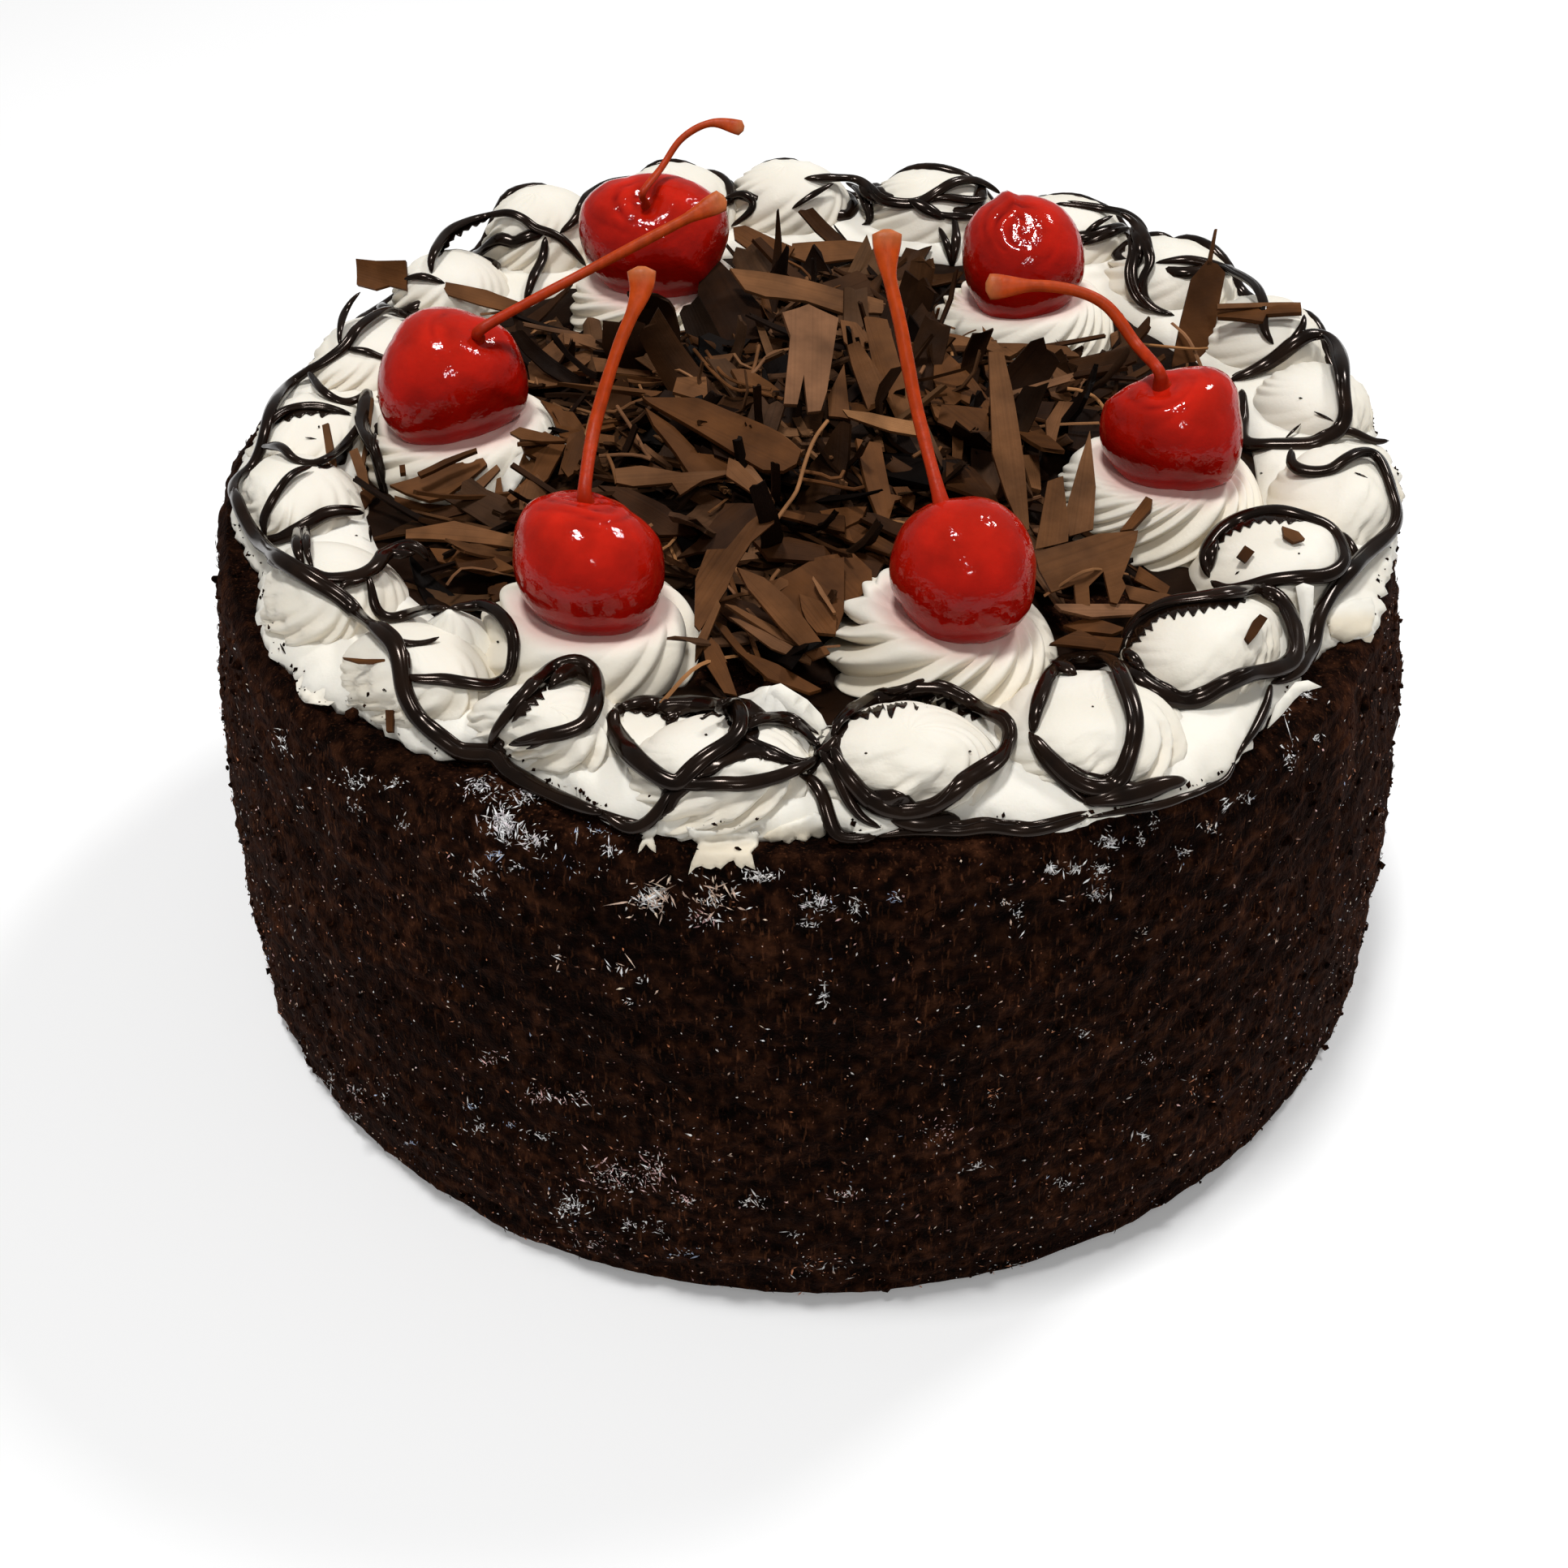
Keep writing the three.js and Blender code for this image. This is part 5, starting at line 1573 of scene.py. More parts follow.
def heap_core(shape):
    """The uneven middle of the heap, dark chocolate with painted shade, seen in the gaps between strips."""
    degrees = np.degrees(np.linspace(0, 2 * np.pi, HEAP_COLUMNS, endpoint=False))
    rings = []
    for distance in np.linspace(HEAP_RADIUS + 1.5, 0.5, HEAP_ROWS):
        cover = HEAP_COVER * (0.35 + 0.65 * ramp(HEAP_RADIUS, HEAP_RADIUS - 12, distance))
        ring = on_circle(degrees, distance, heap_height(distance) - cover)
        sunk = HOLLOW_DEPTH * hollow(ring) * ramp(HEAP_RADIUS, HEAP_RADIUS - 9, distance)
        ring[:, 2] += 2.0 * rough_noise(ring, 7, 3, 9) - sunk
        rings.append(ring)
    base = np.array(rings[0])
    base[:, 2] = CAKE_TOP - 0.5
    # Painted shade on the core, which shows in the gaps between strips.
    shape.loft([base, *rings], (0.5, 0.2, 0.45))


SHAVING_ROWS = 9
SHAVING_COLUMNS = 5
# A strip with less curl than this, in radians, is straight.
LEAST_CURL = 1e-3


def end_cut(width, fork, rng):
    """How far each column of a strip reaches at one end: slanted and ragged, or forked."""
    across = np.linspace(-0.5, 0.5, SHAVING_COLUMNS)
    cut = rng.uniform(-0.9, 0.9) * across + rng.uniform(-0.22, 0.22, SHAVING_COLUMNS)
    if fork:
        prongs = np.where(np.arange(SHAVING_COLUMNS) % 2, -1.1, 0.4)
        cut = prongs * rng.uniform(0.7, 1.3, SHAVING_COLUMNS)
    return np.r_[cut, cut[::-1]] * width


def shaving_rings(length, width, thickness, curl, twist, bow, fork, rng):
    """Rings of a strip of chocolate along +X: curled, twisted, and cut or forked at its ends.

    Also returns where each point lies across the strip.
    """
    t = np.linspace(-0.5, 0.5, SHAVING_ROWS)
    across = np.linspace(-0.5, 0.5, SHAVING_COLUMNS)
    taper = rng.choice([0.1, 0.3, 0.85])
    narrowing = 1 - taper * np.clip(t * 2, 0, 1) ** 1.3 - 0.25 * np.clip(-t * 2, 0, 1) ** 2
    edge = 1 + 0.05 * rng.normal(size=SHAVING_ROWS)
    columns = np.r_[across, across[::-1]]
    side = np.r_[np.full(SHAVING_COLUMNS, 0.5), np.full(SHAVING_COLUMNS, -0.5)]
    far = np.clip((t - 0.3) / 0.2, 0, 1) ** (1 if fork else 2)
    near = np.clip((-t - 0.3) / 0.2, 0, 1) ** 2
    x = t[:, None] * length + far[:, None] * end_cut(width, fork, rng)
    x = x + near[:, None] * end_cut(width * 0.8, False, rng)
    y = columns * width * narrowing[:, None] * edge[:, None]
    z = side * thickness + bow * width * (0.25 - columns ** 2) * np.ones((SHAVING_ROWS, 1))
    turn = twist * t[:, None]
    y, z = y * np.cos(turn) - z * np.sin(turn), y * np.sin(turn) + z * np.cos(turn)
    if abs(curl) > LEAST_CURL:
        bend = curl * x / length
        radius = length / curl
        x, z = np.sin(bend) * (radius - z), radius - np.cos(bend) * (radius - z)
    return np.stack([x, y, z], axis=-1), np.broadcast_to(columns + 0.5, x.shape)


def oriented(rings, heading, tilt, roll):
    """Turns rings about X by `roll`, about Y by `tilt` and about Z by `heading`, in degrees."""
    turn = (Matrix.Rotation(math.radians(heading), 3, "Z") @ Matrix.Rotation(math.radians(-tilt), 3, "Y")
            @ Matrix.Rotation(math.radians(roll), 3, "X"))
    return rings @ np.array(turn).T


# How far shavings keep from a rosette's middle, from a cherry and from a stem's middle line.
ROSETTE_ROOM = 15.0
CHERRY_ROOM = 0.4
STEM_ROOM = 2.2


class Obstacles:
    """The rosettes, cherries and stems that shavings keep clear of."""

    def __init__(self):
        self.balls = []
        self.stems = []
        for number, topping in TOPPINGS.items():
            centre, size = cherry_ball(number)
            low, high = node_box(f"rosette_{number}")
            self.balls.append((centre, size, (low + high) / 2))
            if topping["stem"]:
                self.stems.append(curve_through([(0, 0, 0), *topping["stem"]], 2.0) + centre)

    def clear(self, points):
        """Whether all of the points keep their distance."""
        for centre, size, rosette in self.balls:
            if np.linalg.norm(points - centre, axis=1).min() < size + CHERRY_ROOM:
                return False
            if np.linalg.norm(points[:, :2] - rosette[:2], axis=1).min() < ROSETTE_ROOM:
                return False
        for path in self.stems:
            if np.linalg.norm(points[:, None] - path[None], axis=2).min() < STEM_ROOM:
                return False
        return True


SHADES = [0.12, 0.3, 0.42, 0.5, 0.6, 0.78]
# Layers of random strips: how many, the ranges of their length, width and height above the heap, how
# far they tilt, and how far out they lie as a share of the heap's radius.
SHAVING_LAYERS = [
    (170, (18, 42), (3.5, 9), (-2.8, -0.8), 13, 1.05),
    (110, (20, 46), (2.0, 6.0), (-1.8, 0.2), 10, 1.08),
    (130, (18, 44), (0.6, 1.8), (-1.2, 1.0), 10, 1.08),
    (30, (3, 8), (1.0, 3), (-0.5, 1.0), 20, 1.08),
]
TRIES_EACH = 12


def scattered_shavings(shape, obstacles, rng, count, lengths, widths, heights, tilt, edge):
    """Random strips over the heap, as far as they keep clear of the toppings."""
    made = 0
    tries = 0
    while made < count and tries < count * TRIES_EACH:
        tries += 1
        distance = HEAP_RADIUS * edge * math.sqrt(rng.uniform())
        place = on_circle(rng.uniform(0, 360), distance, 0)
        length = rng.uniform(*lengths)
        width = min(rng.uniform(*widths), length * 0.7)
        curl = rng.normal() * (1.7 if rng.uniform() < 0.35 else 0.5)
        rings, across = shaving_rings(
            length, width, thickness=rng.uniform(0.35, 0.8), curl=curl, twist=rng.normal() * 0.4,
            bow=rng.normal() * 0.4, fork=rng.uniform() < 0.2, rng=rng)
        rings = oriented(rings, rng.uniform(0, 360), rng.normal() * tilt, rng.normal() * tilt * 1.2)
        sunk = hollow(place[None])[0]
        lift = rng.uniform(*heights) - 2.0 * sunk
        place[2] = heap_height(distance) + lift
        rings = rings + place
        flat = rings.reshape(-1, 3)
        inside = (np.linalg.norm(flat[:, :2], axis=1) < heap_reach(flat)).all()
        if inside and flat[:, 2].min() > CAKE_TOP + 0.2 and obstacles.clear(flat):
            shade = np.clip(rng.choice(SHADES) + rng.normal() * 0.07, 0.02, 1)
            # Painted shade: strips that lie low or in a hollow are darker.
            depth = np.clip(0.58 + lift * 0.14, 0.05, 1) * (1 - 0.6 * sunk)
            tint = [across, np.full(across.shape, shade), np.full(across.shape, depth)]
            shape.loft(rings, np.stack(tint, axis=-1))
            made += 1


# Flakes that stand out in the picture: shade, mm above what lies under their middle, how far they face
# the camera (0 lies flat, 1 stands up), and their outline in pixels.
FLAKES = [
    (0.72, 6.0, 0.5, "964,385 974,413 966,497 983,497 991,460 996,506 1012,504 1019,482 1033,392 997,372"),
    (0.58, 4.5, 0.4, "899,331 928,334 984,344 1040,359 1088,372 1088,388 1040,387 992,372 943,367 918,358"),
    (0.48, 3.5, 0.4, "903,280 918,278 979,306 964,327 946,325 905,295"),
    (0.52, 3.0, 0.3, "976,300 1040,296 1072,302 1068,318 1000,325 974,316"),
    (0.42, 3.8, 0.4, "795,503 830,528 862,560 905,564 908,573 900,582 850,584 833,560 805,526"),
    (0.4, 5.4, 0.4, "792,492 860,493 921,515 960,535 987,557 981,575 965,583 940,580 905,560 860,533 "
                    "800,498"),
    (0.56, 5.9, 0.4, "860,491 921,513 962,533 989,556 985,560 958,539 919,520 862,497"),
    (0.14, 0.8, 0.3, "866,318 888,330 936,380 956,392 941,423 900,433 858,398"),
    (0.58, 2.5, 0.4, "660,436 694,408 695,433 727,428 729,441 691,474 655,474 650,449"),
    (0.62, 3.5, 0.3, "695,409 727,413 752,433 750,443 724,426 696,423"),
    (0.6, 2.8, 0.3, "760,449 829,446 836,438 829,469 768,464"),
    (0.55, 3.8, 0.3, "834,466 870,464 872,492 852,489 829,482"),
    (0.5, 2.6, 0.4, "678,500 706,507 722,530 696,543 691,525"),
    (0.52, 2.8, 0.3, "652,540 672,528 697,541 686,572 655,590 640,570"),
    (0.42, 2.4, 0.3, "701,535 719,530 716,580 688,585"),
    (0.5, 3.0, 0.4, "1020,487 1040,449 1048,515 1021,512"),
    (0.5, 4.0, 0.5, "1064,390 1093,392 1130,520 1104,517 1078,464"),
    (0.54, 3.4, 0.5, "1044,425 1058,420 1091,469 1091,510 1071,510 1050,449"),
    (0.92, 5.5, 0.4, "1038,504 1071,507 1137,521 1138,538 1096,530 1045,513"),
    (0.56, 3.5, 0.4, "1129,398 1150,408 1213,420 1216,431 1178,431 1150,428"),
    (0.6, 5.0, 0.4, "1210,399 1234,423 1262,426 1244,436 1216,428"),
    (0.58, 5.0, 0.6, "1219,432 1237,434 1246,475 1261,570 1268,652 1260,656 1240,611 1222,560"),
    (0.46, 3.0, 0.4, "1150,425 1193,464 1219,494 1216,515 1183,497 1168,507 1150,469"),
    (0.48, 2.6, 0.3, "1139,482 1178,507 1219,530 1219,558 1188,543 1152,515"),
    (0.58, 3.6, 0.5, "1276,433 1331,474 1318,480 1323,494 1295,489 1282,454"),
    (0.62, 4.0, 0.5, "1289,518 1305,494 1323,495 1308,515 1298,556 1290,551"),
    (0.1, 2.6, 0.3, "1318,500 1352,505 1362,528 1338,556 1315,551"),
    (0.18, 2.2, 0.3, "1250,492 1300,494 1290,516 1252,514"),
    (0.62, 5.0, 0.8, "1343,530 1350,600 1347,652 1318,660 1310,640 1330,570"),
    (0.58, 4.2, 0.6, "1291,593 1310,586 1317,647 1316,667 1275,677 1282,644"),
    (0.54, 4.6, 0.6, "1275,680 1321,667 1354,657 1402,654 1400,667 1389,695 1382,713 1387,723 1377,744 "
                     "1368,742 1359,705 1341,723 1343,746 1326,746 1323,721 1295,731 1280,703"),
    (0.74, 3.4, 0.3, "1300,744 1412,744 1397,757 1346,760 1308,752"),
    (0.5, 2.4, 0.4, "1384,720 1440,731 1462,742 1430,746 1392,738"),
    (0.42, 2.2, 0.4, "1310,770 1345,762 1388,774 1370,782 1330,779"),
    (0.36, 2.4, 0.4, "1294,792 1330,776 1360,790 1368,800 1336,797"),
    (0.46, 2.6, 0.5, "1404,697 1442,722 1437,733 1398,714"),
    (0.4, 2.2, 0.4, "1340,782 1384,786 1378,802 1350,800"),
    (0.6, 3.4, 0.4, "1259,560 1280,560 1282,606 1270,603"),
    (0.1, 3.2, 0.4, "1160,565 1183,565 1219,601 1229,621 1178,611 1162,601"),
    (0.46, 3.2, 0.4, "1055,540 1086,545 1099,606 1124,611 1104,614 1096,639 1083,639 1071,606"),
    (0.36, 2.2, 0.3, "1020,640 1040,637 1104,672 1096,684 1040,667"),
    (0.3, 2.2, 0.3, "1005,680 1040,677 1091,690 1078,713 1040,703"),
    (0.48, 6.0, 0.6, "952,620 954,644 926,667 908,695 895,726 862,777 856,769 857,713 871,677 895,675 "
                     "921,644"),
    # An inner side of a fold, darkened with painted shade.
    (0.24, 4.6, 0.4, "895,619 949,626 923,644 895,675 859,682 834,690 857,670"),
    (0.56, 6.0, 0.5, "898,565 910,570 953,617 943,621 895,588"),
    (0.58, 4.6, 0.4, "757,578 790,574 840,584 902,580 908,572 900,584 865,594 838,610 828,596 780,600 "
                     "760,596"),
    (0.66, 5.2, 0.4, "905,563 925,574 945,600 955,618 938,606 909,575"),
    (0.26, 3.2, 0.4, "737,596 770,600 820,625 860,657 812,660 790,641 750,606"),
    (0.46, 2.4, 0.4, "838,486 845,470 868,462 874,475 870,492 850,492"),
    (0.52, 2.6, 0.3, "730,440 800,450 802,463 735,458"),
    (0.48, 2.8, 0.3, "732,470 800,482 830,484 800,490 735,476"),
    (0.5, 2.2, 0.3, "738,534 757,536 757,546 738,545"),
    (0.44, 2.2, 0.3, "738,518 752,514 758,526 740,530"),
    (0.5, 3.2, 0.3, "900,458 925,456 948,472 964,490 940,486 912,474"),
    (0.6, 2.8, 0.3, "868,440 905,435 895,452 905,458 880,462"),
    (0.42, 2.6, 0.3, "965,628 1000,638 1050,650 1100,678 1098,684 1050,669 1000,646 962,636"),
    (0.42, 2.8, 0.3, "1010,630 1068,624 1062,641 1040,651 1018,642"),
    (0.34, 3.0, 0.3, "945,664 970,667 1010,675 1042,684 1010,684 960,674"),
    (0.44, 3.4, 0.4, "1004,690 1035,685 1052,683 1074,702 1075,722 1057,740 1044,743 1022,730 1000,712"),
    (0.48, 4.2, 0.4, "985,730 1010,740 1031,756 1030,780 1006,780 994,766 988,750"),
    (0.52, 5.2, 0.4, "952,723 960,712 990,699 996,708 970,722 958,729"),
    (0.46, 5.0, 0.4, "962,736 975,727 1000,712 1006,719 985,731 965,740"),
    (0.84, 5.8, 0.5, "1002,710 1012,724 1030,754 1026,755 1010,732 1001,714"),
    (0.26, 2.4, 0.3, "880,742 905,738 930,745 960,771 962,783 940,780 900,765 885,752"),
    (0.46, 4.6, 0.5, "876,785 886,795 896,816 880,815 870,797"),
    (0.28, 2.2, 0.3, "560,690 600,680 636,690 602,703 565,701"),
    (0.46, 3.0, 0.4, "666,492 690,500 720,530 700,541 690,536 680,510"),
    (0.4, 3.6, 0.4, "698,548 718,530 723,541 716,575 700,589 691,575"),
    (0.44, 3.4, 0.4, "640,542 697,546 690,562 675,590 658,602 630,616 624,611 655,582 661,562 646,555"),
    (0.5, 4.2, 0.4, "628,533 640,525 660,530 690,539 697,544 668,543 642,540"),
    (0.26, 3.6, 0.3, "1165,565 1200,580 1220,601 1231,622 1200,616 1165,601"),
    (0.44, 3.2, 0.4, "1160,500 1218,505 1218,546 1200,551 1180,531 1155,520"),
    (0.5, 3.8, 0.4, "1173,530 1187,532 1185,566 1173,563"),
    (0.54, 3.0, 0.4, "1035,395 1055,398 1068,410 1076,433 1050,431 1040,420"),
    (0.44, 2.6, 0.4, "1100,600 1118,600 1128,612 1125,631 1110,619"),
    (0.48, 2.4, 0.3, "1184,449 1220,449 1220,470 1206,470 1184,458"),
    (0.34, 2.5, 0.3, "790,634 857,659 813,664"),
    (0.5, 4.0, 0.5, "908,700 941,713 972,739 1023,805 1002,813 959,772 921,726"),
    (0.72, 4.8, 0.4, "964,777 1007,784 1005,797 969,784"),
    (0.66, 4.0, 0.4, "898,760 912,764 1001,809 998,817 950,800"),
    (0.6, 4.4, 0.4, "893,745 906,747 1003,796 1001,804 960,787"),
    (0.4, 2.8, 0.4, "877,764 895,772 921,805 959,820 1012,848 997,853 946,836 908,802"),
    (0.46, 3.0, 0.5, "864,786 893,813 908,856 892,853 870,818"),
    (0.56, 4.2, 0.6, "856,815 857,790 884,738 888,746 866,800"),
    (0.3, 2.6, 0.3, "928,670 972,662 1040,682 1023,693 946,688"),
    (0.26, 2.4, 0.3, "954,624 1040,634 1040,654 972,637"),
    (0.42, 3.6, 0.5, "923,718 954,713 997,690 1040,688 1040,751 1030,779 1007,777 979,749"),
    (0.16, 3.2, 0.4, "865,505 905,520 960,545 985,575 930,580 880,560"),
    (0.56, 2.6, 0.4, "500,652 560,644 640,662 636,676 560,668 500,664"),
    (0.46, 2.4, 0.4, "530,676 600,680 636,700 600,706 540,692"),
    (0.54, 3.0, 0.6, "640,600 662,585 676,600 660,640 640,640"),
]
# Long curved threads in the picture: shade, mm above the heap, and pixels.
THREADS = [
    (0.9, 7.0, "1020,518 1004,540 992,570 982,604 970,622 957,640"),
    (0.6, 3.0, "735,505 760,507 778,497 800,490"),
    (0.7, 4.0, "760,500 780,530 797,560 802,565"),
    (0.7, 4.0, "738,562 770,560 790,562 802,566"),
    (0.6, 3.5, "762,590 785,587 806,590"),
    (0.6, 4.5, "748,560 755,575 760,596"),
    (0.5, 4.0, "855,430 880,460 905,480 930,482 965,492"),
    (0.5, 4.4, "870,432 892,462 918,474 950,480"),
    (0.5, 4.0, "985,580 1010,584 1030,592 1034,590 1040,580"),
    (0.4, 3.6, "985,590 1020,596 1050,603 1065,600"),
    (0.6, 3.6, "1125,563 1145,550"),
    (0.9, 5.0, "906,700 918,718 940,740"),
    (0.5, 4.0, "1250,515 1270,515 1291,520"),
    (0.5, 3.6, "1253,523 1270,533 1288,547"),
    (0.95, 5.0, "1315,479 1335,482 1352,492 1362,506"),
    (0.7, 4.0, "1134,460 1144,442"),
    (0.7, 4.4, "1090,438 1106,462"),
    (0.6, 4.0, "935,425 930,450 926,460"),
    (0.7, 4.4, "957,433 944,440 930,458 924,462"),
    (0.5, 3.0, "1030,555 1045,570 1060,588 1066,598"),
    (0.6, 4.0, "885,740 915,732 925,731"),
    (0.6, 4.0, "948,722 955,706 960,702"),
]
# Scraps that lie on the border, given like the flakes.
SCRAPS = [
    (0.44, 1.6, 0.6, "1500,379 1603,376 1604,386 1560,389 1556,396 1500,392"),
    (0.62, 2.4, 0.8, "1500,374 1560,373 1603,372 1603,377 1500,380"),
    (0.4, 2.5, 0.8, "437,317 462,320 500,321 500,356 478,350 462,356 439,350"),
    (0.62, 3.0, 0.9, "397,524 404,521 412,560 418,598 410,600 402,560"),
    (0.6, 3.0, 0.9, "430,556 440,551 452,580 456,606 446,604"),
    (0.5, 1.6, 0.5, "540,344 600,356 640,372 636,386 590,374 552,362"),
    (0.3, 1.0, 0.5, "1544,765 1552,757 1562,762 1548,783 1540,792 1534,786"),
    (0.3, 1.0, 0.5, "1524,686 1534,672 1546,680 1535,694"),
    (0.5, 1.2, 0.5, "1580,648 1600,655 1608,664 1594,668 1582,660"),
    (0.34, 1.0, 0.5, "474,874 484,874 483,900 475,900"),
    (0.46, 0.8, 0.4, "422,810 450,812 480,812 480,816 440,815"),
    (0.44, 1.2, 0.6, "1380,655 1412,612 1420,617 1418,628 1395,652"),
    (0.5, 1.2, 0.5, "480,598 509,588 552,571 595,564 600,571 576,590 547,610 528,614 499,606"),
    (0.34, 2.0, 0.6, "514,582 547,566 587,552 588,556 550,571 518,587"),
    (0.62, 1.6, 0.5, "560,612 590,590 612,572 616,577 596,600 566,618"),
    (0.44, 1.0, 0.5, "486,610 520,618 560,622 556,630 516,628 486,618"),
    (0.3, 1.2, 0.5, "530,632 560,622 600,604 606,612 570,634 536,642"),
    (0.56, 2.2, 0.7, "606,640 612,590 617,588 620,610 614,642"),
    (0.48, 1.4, 0.5, "492,574 499,573 500,583 493,584"),
    (0.6, 1.5, 0.5, "1368,412 1384,405 1402,415 1400,420 1382,412 1370,428"),
]


def filled(outline, step):
    """Fills an outline in the plane: points about `step` apart, those of the rim first, and triangles."""
    after = np.roll(outline, -1, axis=0)
    counts = np.maximum((np.linalg.norm(after - outline, axis=1) / step).astype(int), 1)
    rim = np.vstack([a + (b - a) * np.arange(n)[:, None] / n for a, b, n in zip(outline, after, counts)])
    low, high = rim.min(0), rim.max(0)
    columns = np.arange(low[0] + step / 2, high[0], step)
    rows = np.arange(low[1] + step / 2, high[1], step)
    grid = np.stack(np.meshgrid(columns, rows), axis=-1).reshape(-1, 2)
    run, rise = (np.roll(rim, -1, axis=0) - rim).T
    beyond = grid[:, 1:2] - rim[:, 1]
    crossed = (beyond >= 0) != (beyond - rise >= 0)
    meets = rim[:, 0] + beyond * run / np.where(rise == 0, 1, rise)
    inside = (crossed & (grid[:, :1] < meets)).sum(1) % 2 == 1
    clear = np.linalg.norm(grid[:, None] - rim, axis=2).min(1) > step * 0.4
    points = np.vstack([rim, grid[inside & clear]])
    loop = list(range(len(rim)))
    _, _, faces, origin, _, _ = delaunay_2d_cdt([Vector(point) for point in points], [], [loop], 1, 1e-6)
    kept = np.array([came_from[0] for came_from in origin])
    return points, kept[np.array(faces)], len(rim)


FLAKE_STEP = 1.7
# The share of its thickness that a film has at its rim, and the pixels below its top over which its
# tint fades in; on cream smears that tint is painted shade.
FILM_RIM = 0.35
FADE_START = 8
FADE_END = 32


def plate(upper, lower, faces, rim, toward):
    """Points and faces of a plate from its two sides; `toward` points out of the upper one."""
    corners = upper[faces]
    turned = np.cross(corners[:, 1] - corners[:, 0], corners[:, 2] - corners[:, 0]) @ toward < 0
    faces[turned] = faces[turned][:, ::-1]
    i = np.arange(rim)
    after = (i + 1) % rim
    count = len(upper)
    sides = np.column_stack([i, after, after + count, i + count])
    centre = upper.mean(0)
    if np.cross(upper[i] - centre, upper[after] - centre).sum(0) @ toward > 0:
        sides = sides[:, ::-1]
    return np.vstack([upper, lower]), [faces, faces[:, ::-1] + count, sides]


def smear(shape, surface, text, half_thick, step, tint=(0, 0, 0)):
    """A film on a surface: an outline in the picture is filled and cast on what lies there."""
    flat, faces, rim = filled(pixel_list(text), step)
    reach = surface.reach(flat)
    for _ in range(2):
        total = np.zeros(len(flat))
        np.add.at(total, faces, reach[faces].mean(1)[:, None] * np.ones(3))
        reach = total / np.maximum(np.bincount(faces.ravel(), minlength=len(flat)), 1)
    rays = photo_rays(flat)
    edge = np.where(np.arange(len(flat)) < rim, FILM_RIM, 1.0)
    upper = EYE + rays * (reach - half_thick * edge)[:, None]
    lower = EYE + rays * (reach + half_thick)[:, None]
    points, sides = plate(upper, lower, faces, rim, -EYE_FORWARD)
    # The tint, painted shade on cream, fades in below the film's top.
    top = flat[:, 1].min()
    down = np.tile(ramp(top + FADE_START, top + FADE_END, flat[:, 1]), 2)
    shape.add(points, sides, np.outer(down, tint))


def flake_body(surface, lift, facing, outline, rng, clearance=None):
    """A thin bent plate whose outline is cast on a plane above what lies under its middle.

    Its lowest corner stays `clearance` above the heap, if that is given. Returns points, faces and
    where each point lies across the plate's grain.
    """
    outline = pixel_list(outline)
    middle = (outline.min(0) + outline.max(0)) / 2
    under = np.vstack([surface.hit([middle])[0], at_height([middle], SPARE_HEIGHT)])[0]
    ray = photo_rays([middle])[0]
    place = under - ray * lift / abs(ray[2])
    normal = unit((1 - facing) * np.array(UP) - facing * EYE_FORWARD + 0.12 * rng.normal(size=3))
    rays = photo_rays(outline)
    for _ in range(3):
        face = EYE + rays * (((place - EYE) @ normal) / (rays @ normal))[:, None]
        if clearance is not None:
            sunk = clearance - (face[:, 2] - heap_height(np.linalg.norm(face[:, :2], axis=1))).min()
            place = place - ray * max(sunk, 0) / abs(ray[2])
    centre = face.mean(0)
    along = np.linalg.svd(face - centre)[2][0]
    across = np.cross(normal, along)
    flat, faces, rim = filled((face - centre) @ np.column_stack([along, across]), FLAKE_STEP)
    half = np.ptp(flat, axis=0) / 2
    share = (flat - flat.min(0)) / half - 1
    bend = rng.uniform(-0.22, 0.22) * half[1] * (1 - share[:, 1] ** 2)
    bend += rng.uniform(-0.06, 0.06) * half[0] * (1 - share[:, 0] ** 2)
    bend += 0.35 * noise(np.column_stack([flat, 0 * bend]) + rng.uniform(0, 99), 6, 3)
    upper = centre + flat @ np.array([along, across]) + bend[:, None] * normal
    lower = upper - normal * rng.uniform(0.5, 0.9)
    points, sides = plate(upper, lower, faces, rim, normal)
    return points, sides, np.tile(share[:, 1] / 2 + 0.5, 2)


def add_flake(shape, surface, shade, lift, facing, outline, rng, clearance=None):
    """A flake, with painted shade on its underside."""
    points, faces, grain = flake_body(surface, lift, facing, outline, rng, clearance)
    # Painted shade: the lower side is darker.
    depth = np.repeat((1.0, 0.6), len(points) // 2)
    shape.add(points, faces, np.column_stack([grain, np.full(len(points), shade), depth]))


def add_thread(shape, path, up, thin, sides, tint):
    rings = tube_rings(path, np.tile(up, (len(path), 1)), np.full(len(path), thin),
                       np.full(len(path), thin * 0.6), sides)
    shape.loft(rings, tint)


def traced_threads(shape):
    """The fine curved threads of the picture."""
    for shade, lift, text in THREADS:
        flat = curve_through(pixel_list(text), 10)
        distance = np.linalg.norm(at_height(flat, HEAP_MIDDLE)[:, :2], axis=1)
        path = curve_through(at_height(flat, heap_height(distance) + lift), THREAD_STEP)
        add_thread(shape, path, -EYE_FORWARD, 0.3, 6, (0.5, shade, 0.95))


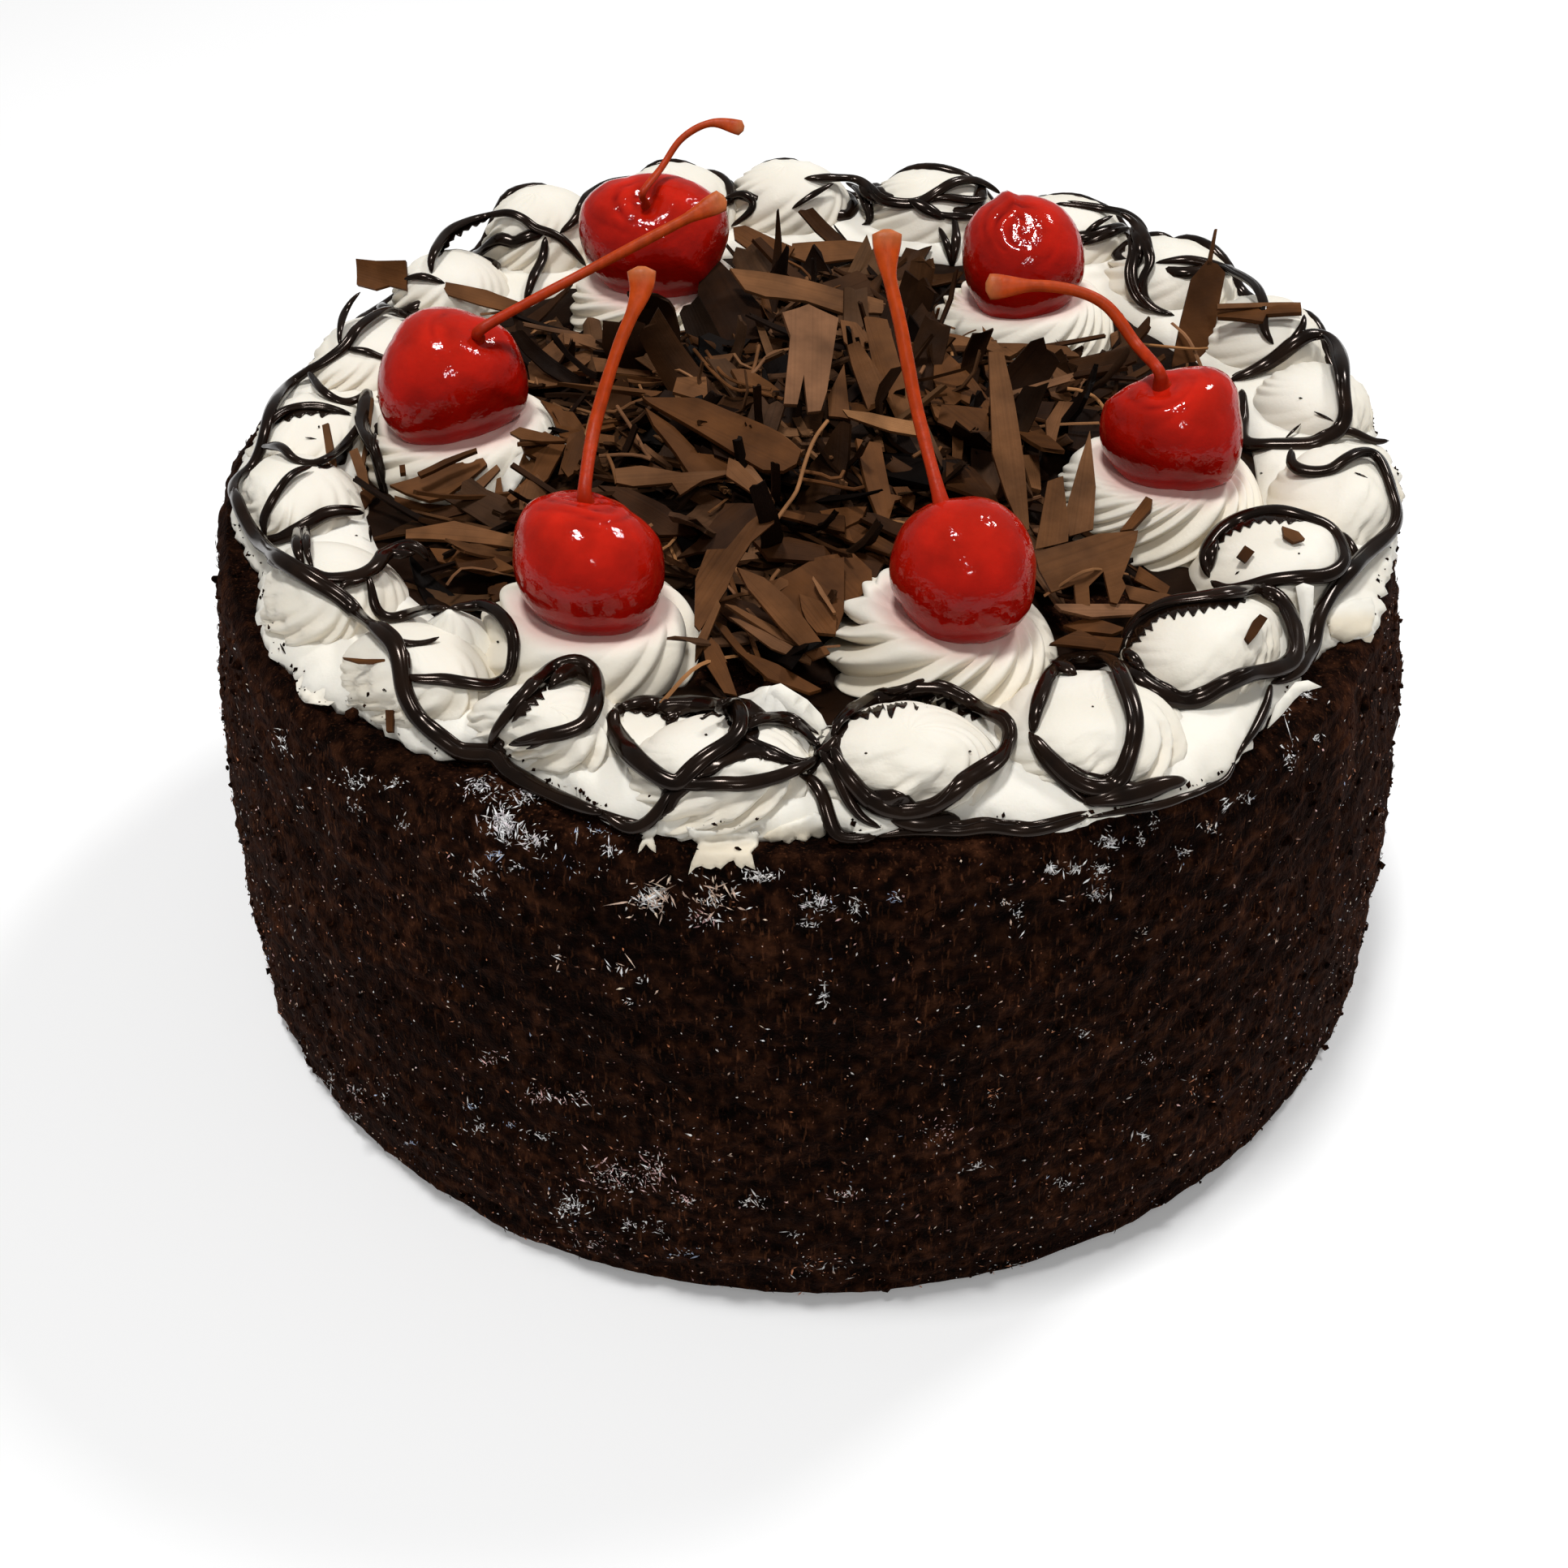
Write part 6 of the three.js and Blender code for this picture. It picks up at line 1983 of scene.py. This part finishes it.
def random_threads(shape, obstacles, rng):
    """Threads and splinters all over the heap."""
    tries = 110
    for _ in range(tries):
        distance = HEAP_RADIUS * math.sqrt(rng.uniform())
        place = on_circle(rng.uniform(0, 360), distance, heap_height(distance) + rng.uniform(0, 4))
        length = rng.uniform(4, 18)
        ends = unit(rng.normal(size=3) * (1, 1, 0.3)) * length / 2
        bend = rng.normal(size=3) * length * 0.12
        path = curve_through([place - ends, place + bend, place + ends], THREAD_STEP)
        if obstacles.clear(path) and path[:, 2].min() >= CAKE_TOP + 1:
            thin = rng.uniform(0.18, 0.4)
            add_thread(shape, path, UP, thin, 5, (0.5, rng.uniform(0.4, 1.0), 0.9))


def heap_shape(cream):
    """The heap's core, strips strewn over it, and the flakes, scraps and threads of the picture."""
    rng = np.random.default_rng(17)
    obstacles = Obstacles()
    shape = Shape()
    heap_core(shape)
    surface = Surface([shape, *cream])
    for layer in SHAVING_LAYERS:
        scattered_shavings(shape, obstacles, rng, *layer)
    for shade, lift, facing, outline in FLAKES:
        add_flake(shape, surface, shade, lift, facing, outline, rng, lift - LOWEST_FLAKE)
    for shade, lift, facing, outline in SCRAPS:
        add_flake(shape, surface, shade, lift, facing, outline, rng)
    traced_threads(shape)
    random_threads(shape, obstacles, rng)
    return shape


# Upright chips of cream in the picture: lift, facing and outline.
CREAM_CHIPS = [
    (1.5, 0.9, "1597,722 1606,718 1619,722 1618,752 1617,786 1604,787 1602,752"),
    (1.2, 0.9, "1563,897 1572,868 1597,840 1612,838 1629,846 1606,852 1594,863 1580,880"),
    (1.0, 0.8, "948,846 962,842 995,862 1012,880 1024,905 1004,908 980,884 940,872"),
    (1.4, 0.6, "614,610 620,588 630,568 646,556 654,562 650,578 640,596 628,612"),
]


def add_cream_chips(border, surface, cake):
    """The cream that is smeared over the rim, and the upright chips."""
    rng = np.random.default_rng(31)
    around = Surface([border, cake])
    # Painted shade on the smears over the rim, fading in below their top.
    for outline in CREAM_SMEARS:
        smear(border, around, outline, half_thick=0.6, step=4.0, tint=(0, 1.0, 1.3))
    for lift, facing, outline in CREAM_CHIPS:
        points, faces, _ = flake_body(surface, lift, facing, outline, rng)
        # A faint painted shade on the chips.
        border.add(points, faces, (0, 0, 0.1))


# The tall blade at the edge of the heap in the picture: where it stands, its outline and its tip.
BLADE_FOOT = (1462, 455)
BLADE_OUTLINE = "1443,455 1455,395 1468,343 1487,321 1500,325 1510,336 1503,372 1488,455"
BLADE_NEEDLE = "1487,327 1493,326 1500,282 1497,282"
BLADE_THICKNESS = 0.9


def blade_shape():
    """The tall blade that stands at the edge of the heap, with its needle tip."""
    low, _ = node_box("chocolate_blade")
    plane = (at_height([BLADE_FOOT], low[2])[0] - EYE) @ EYE_FORWARD
    rng = np.random.default_rng(8)
    shape = Shape()
    for outline in (BLADE_OUTLINE, BLADE_NEEDLE):
        rays = photo_rays(pixel_list(outline))
        face = EYE + rays * (plane / (rays @ EYE_FORWARD))[:, None]
        shape.loft([face, face + EYE_FORWARD * BLADE_THICKNESS], (rng.uniform(), 0.36, 1.0))
    return shape


# ---- floor and light ----
# Where the lights point, in metres: the middle of the cake's top.
LIGHT_AIM = (0, 0, 0.09)


def make_floor():
    """A wide slab just under the cake."""
    size = 3000.0
    top = -0.2
    corners = np.array([(-size, -size, top), (size, -size, top), (size, size, top), (-size, size, top)])
    floor = one_body([corners - (0, 0, 4), corners]).mesh_object("floor", floor_material())


def area_light(name, place, size, brightness):
    """A square light, in metres, that gives a white surface facing it this brightness at the cake."""
    data = bpy.data.lights.new(name, "AREA")
    data.size = size
    data.energy = brightness * math.pi ** 2 * Vector(place).length_squared
    light = bpy.data.objects.new(name, data)
    light.location = place
    light.rotation_mode = "QUATERNION"
    toward_cake = Vector(LIGHT_AIM) - Vector(place)
    light.rotation_quaternion = toward_cake.to_track_quat("-Z", "Y")
    bpy.context.scene.collection.objects.link(light)


def make_light():
    """Soft light from above and the back, a little from the front, and a white room."""
    world = bpy.data.worlds.new("studio")
    world.use_nodes = True
    background = world.node_tree.nodes["Background"]
    background.inputs["Color"].default_value = rgba(grey(1.0))
    background.inputs["Strength"].default_value = 0.22
    bpy.context.scene.world = world
    area_light("key", (-0.22, -0.05, 2.0), 0.30, 0.54)
    area_light("back", (0.95, 0.85, 1.6), 0.30, 0.31)
    area_light("front", (0.25, -1.35, 1.6), 0.22, 0.13)
    bpy.context.scene.view_settings.view_transform = "Standard"


def main():
    make_camera()
    cream = cream_material()
    crumb = crumb_material()
    chocolate = shavings_material()
    cake = cake_shape()
    finished(cake, "crumb_side", crumb, ["cake"])
    border = border_shape()
    finished(crumb_shape(border), "loose_crumbs", crumb)
    finished(fleck_shape(cake), "crumb_flecks", fleck_material())

    rosettes = {number: rosette_shape(number) for number in TOPPINGS}
    all_cream = [border, *rosettes.values()]
    surface = Surface(all_cream)
    add_cream_chips(border, surface, cake)
    finished(border, "piped_border", cream, ["cream_border"])
    finished(sauce_shape(surface), "chocolate_drizzle", chocolate_sauce_material())

    red = cherry_material()
    stalk = stem_material()
    for number, topping in TOPPINGS.items():
        finished(rosettes[number], f"piped_rosette_{number}", cream, [f"rosette_{number}"])
        finished(cherry_shape(number), f"glazed_cherry_{number}", red, [f"cherry_{number}"])
        if topping["stem"]:
            finished(stem_shape(number), f"cherry_stalk_{number}", stalk, [f"stem_{number}"])

    heap = heap_shape(all_cream)
    finished(heap, "shaved_chocolate", chocolate, ["shavings"], SHARP_CHOCOLATE)
    blade = blade_shape()
    finished(blade, "tall_shaving", chocolate, ["chocolate_blade"], SHARP_CHOCOLATE)
    make_floor()
    make_light()


main()
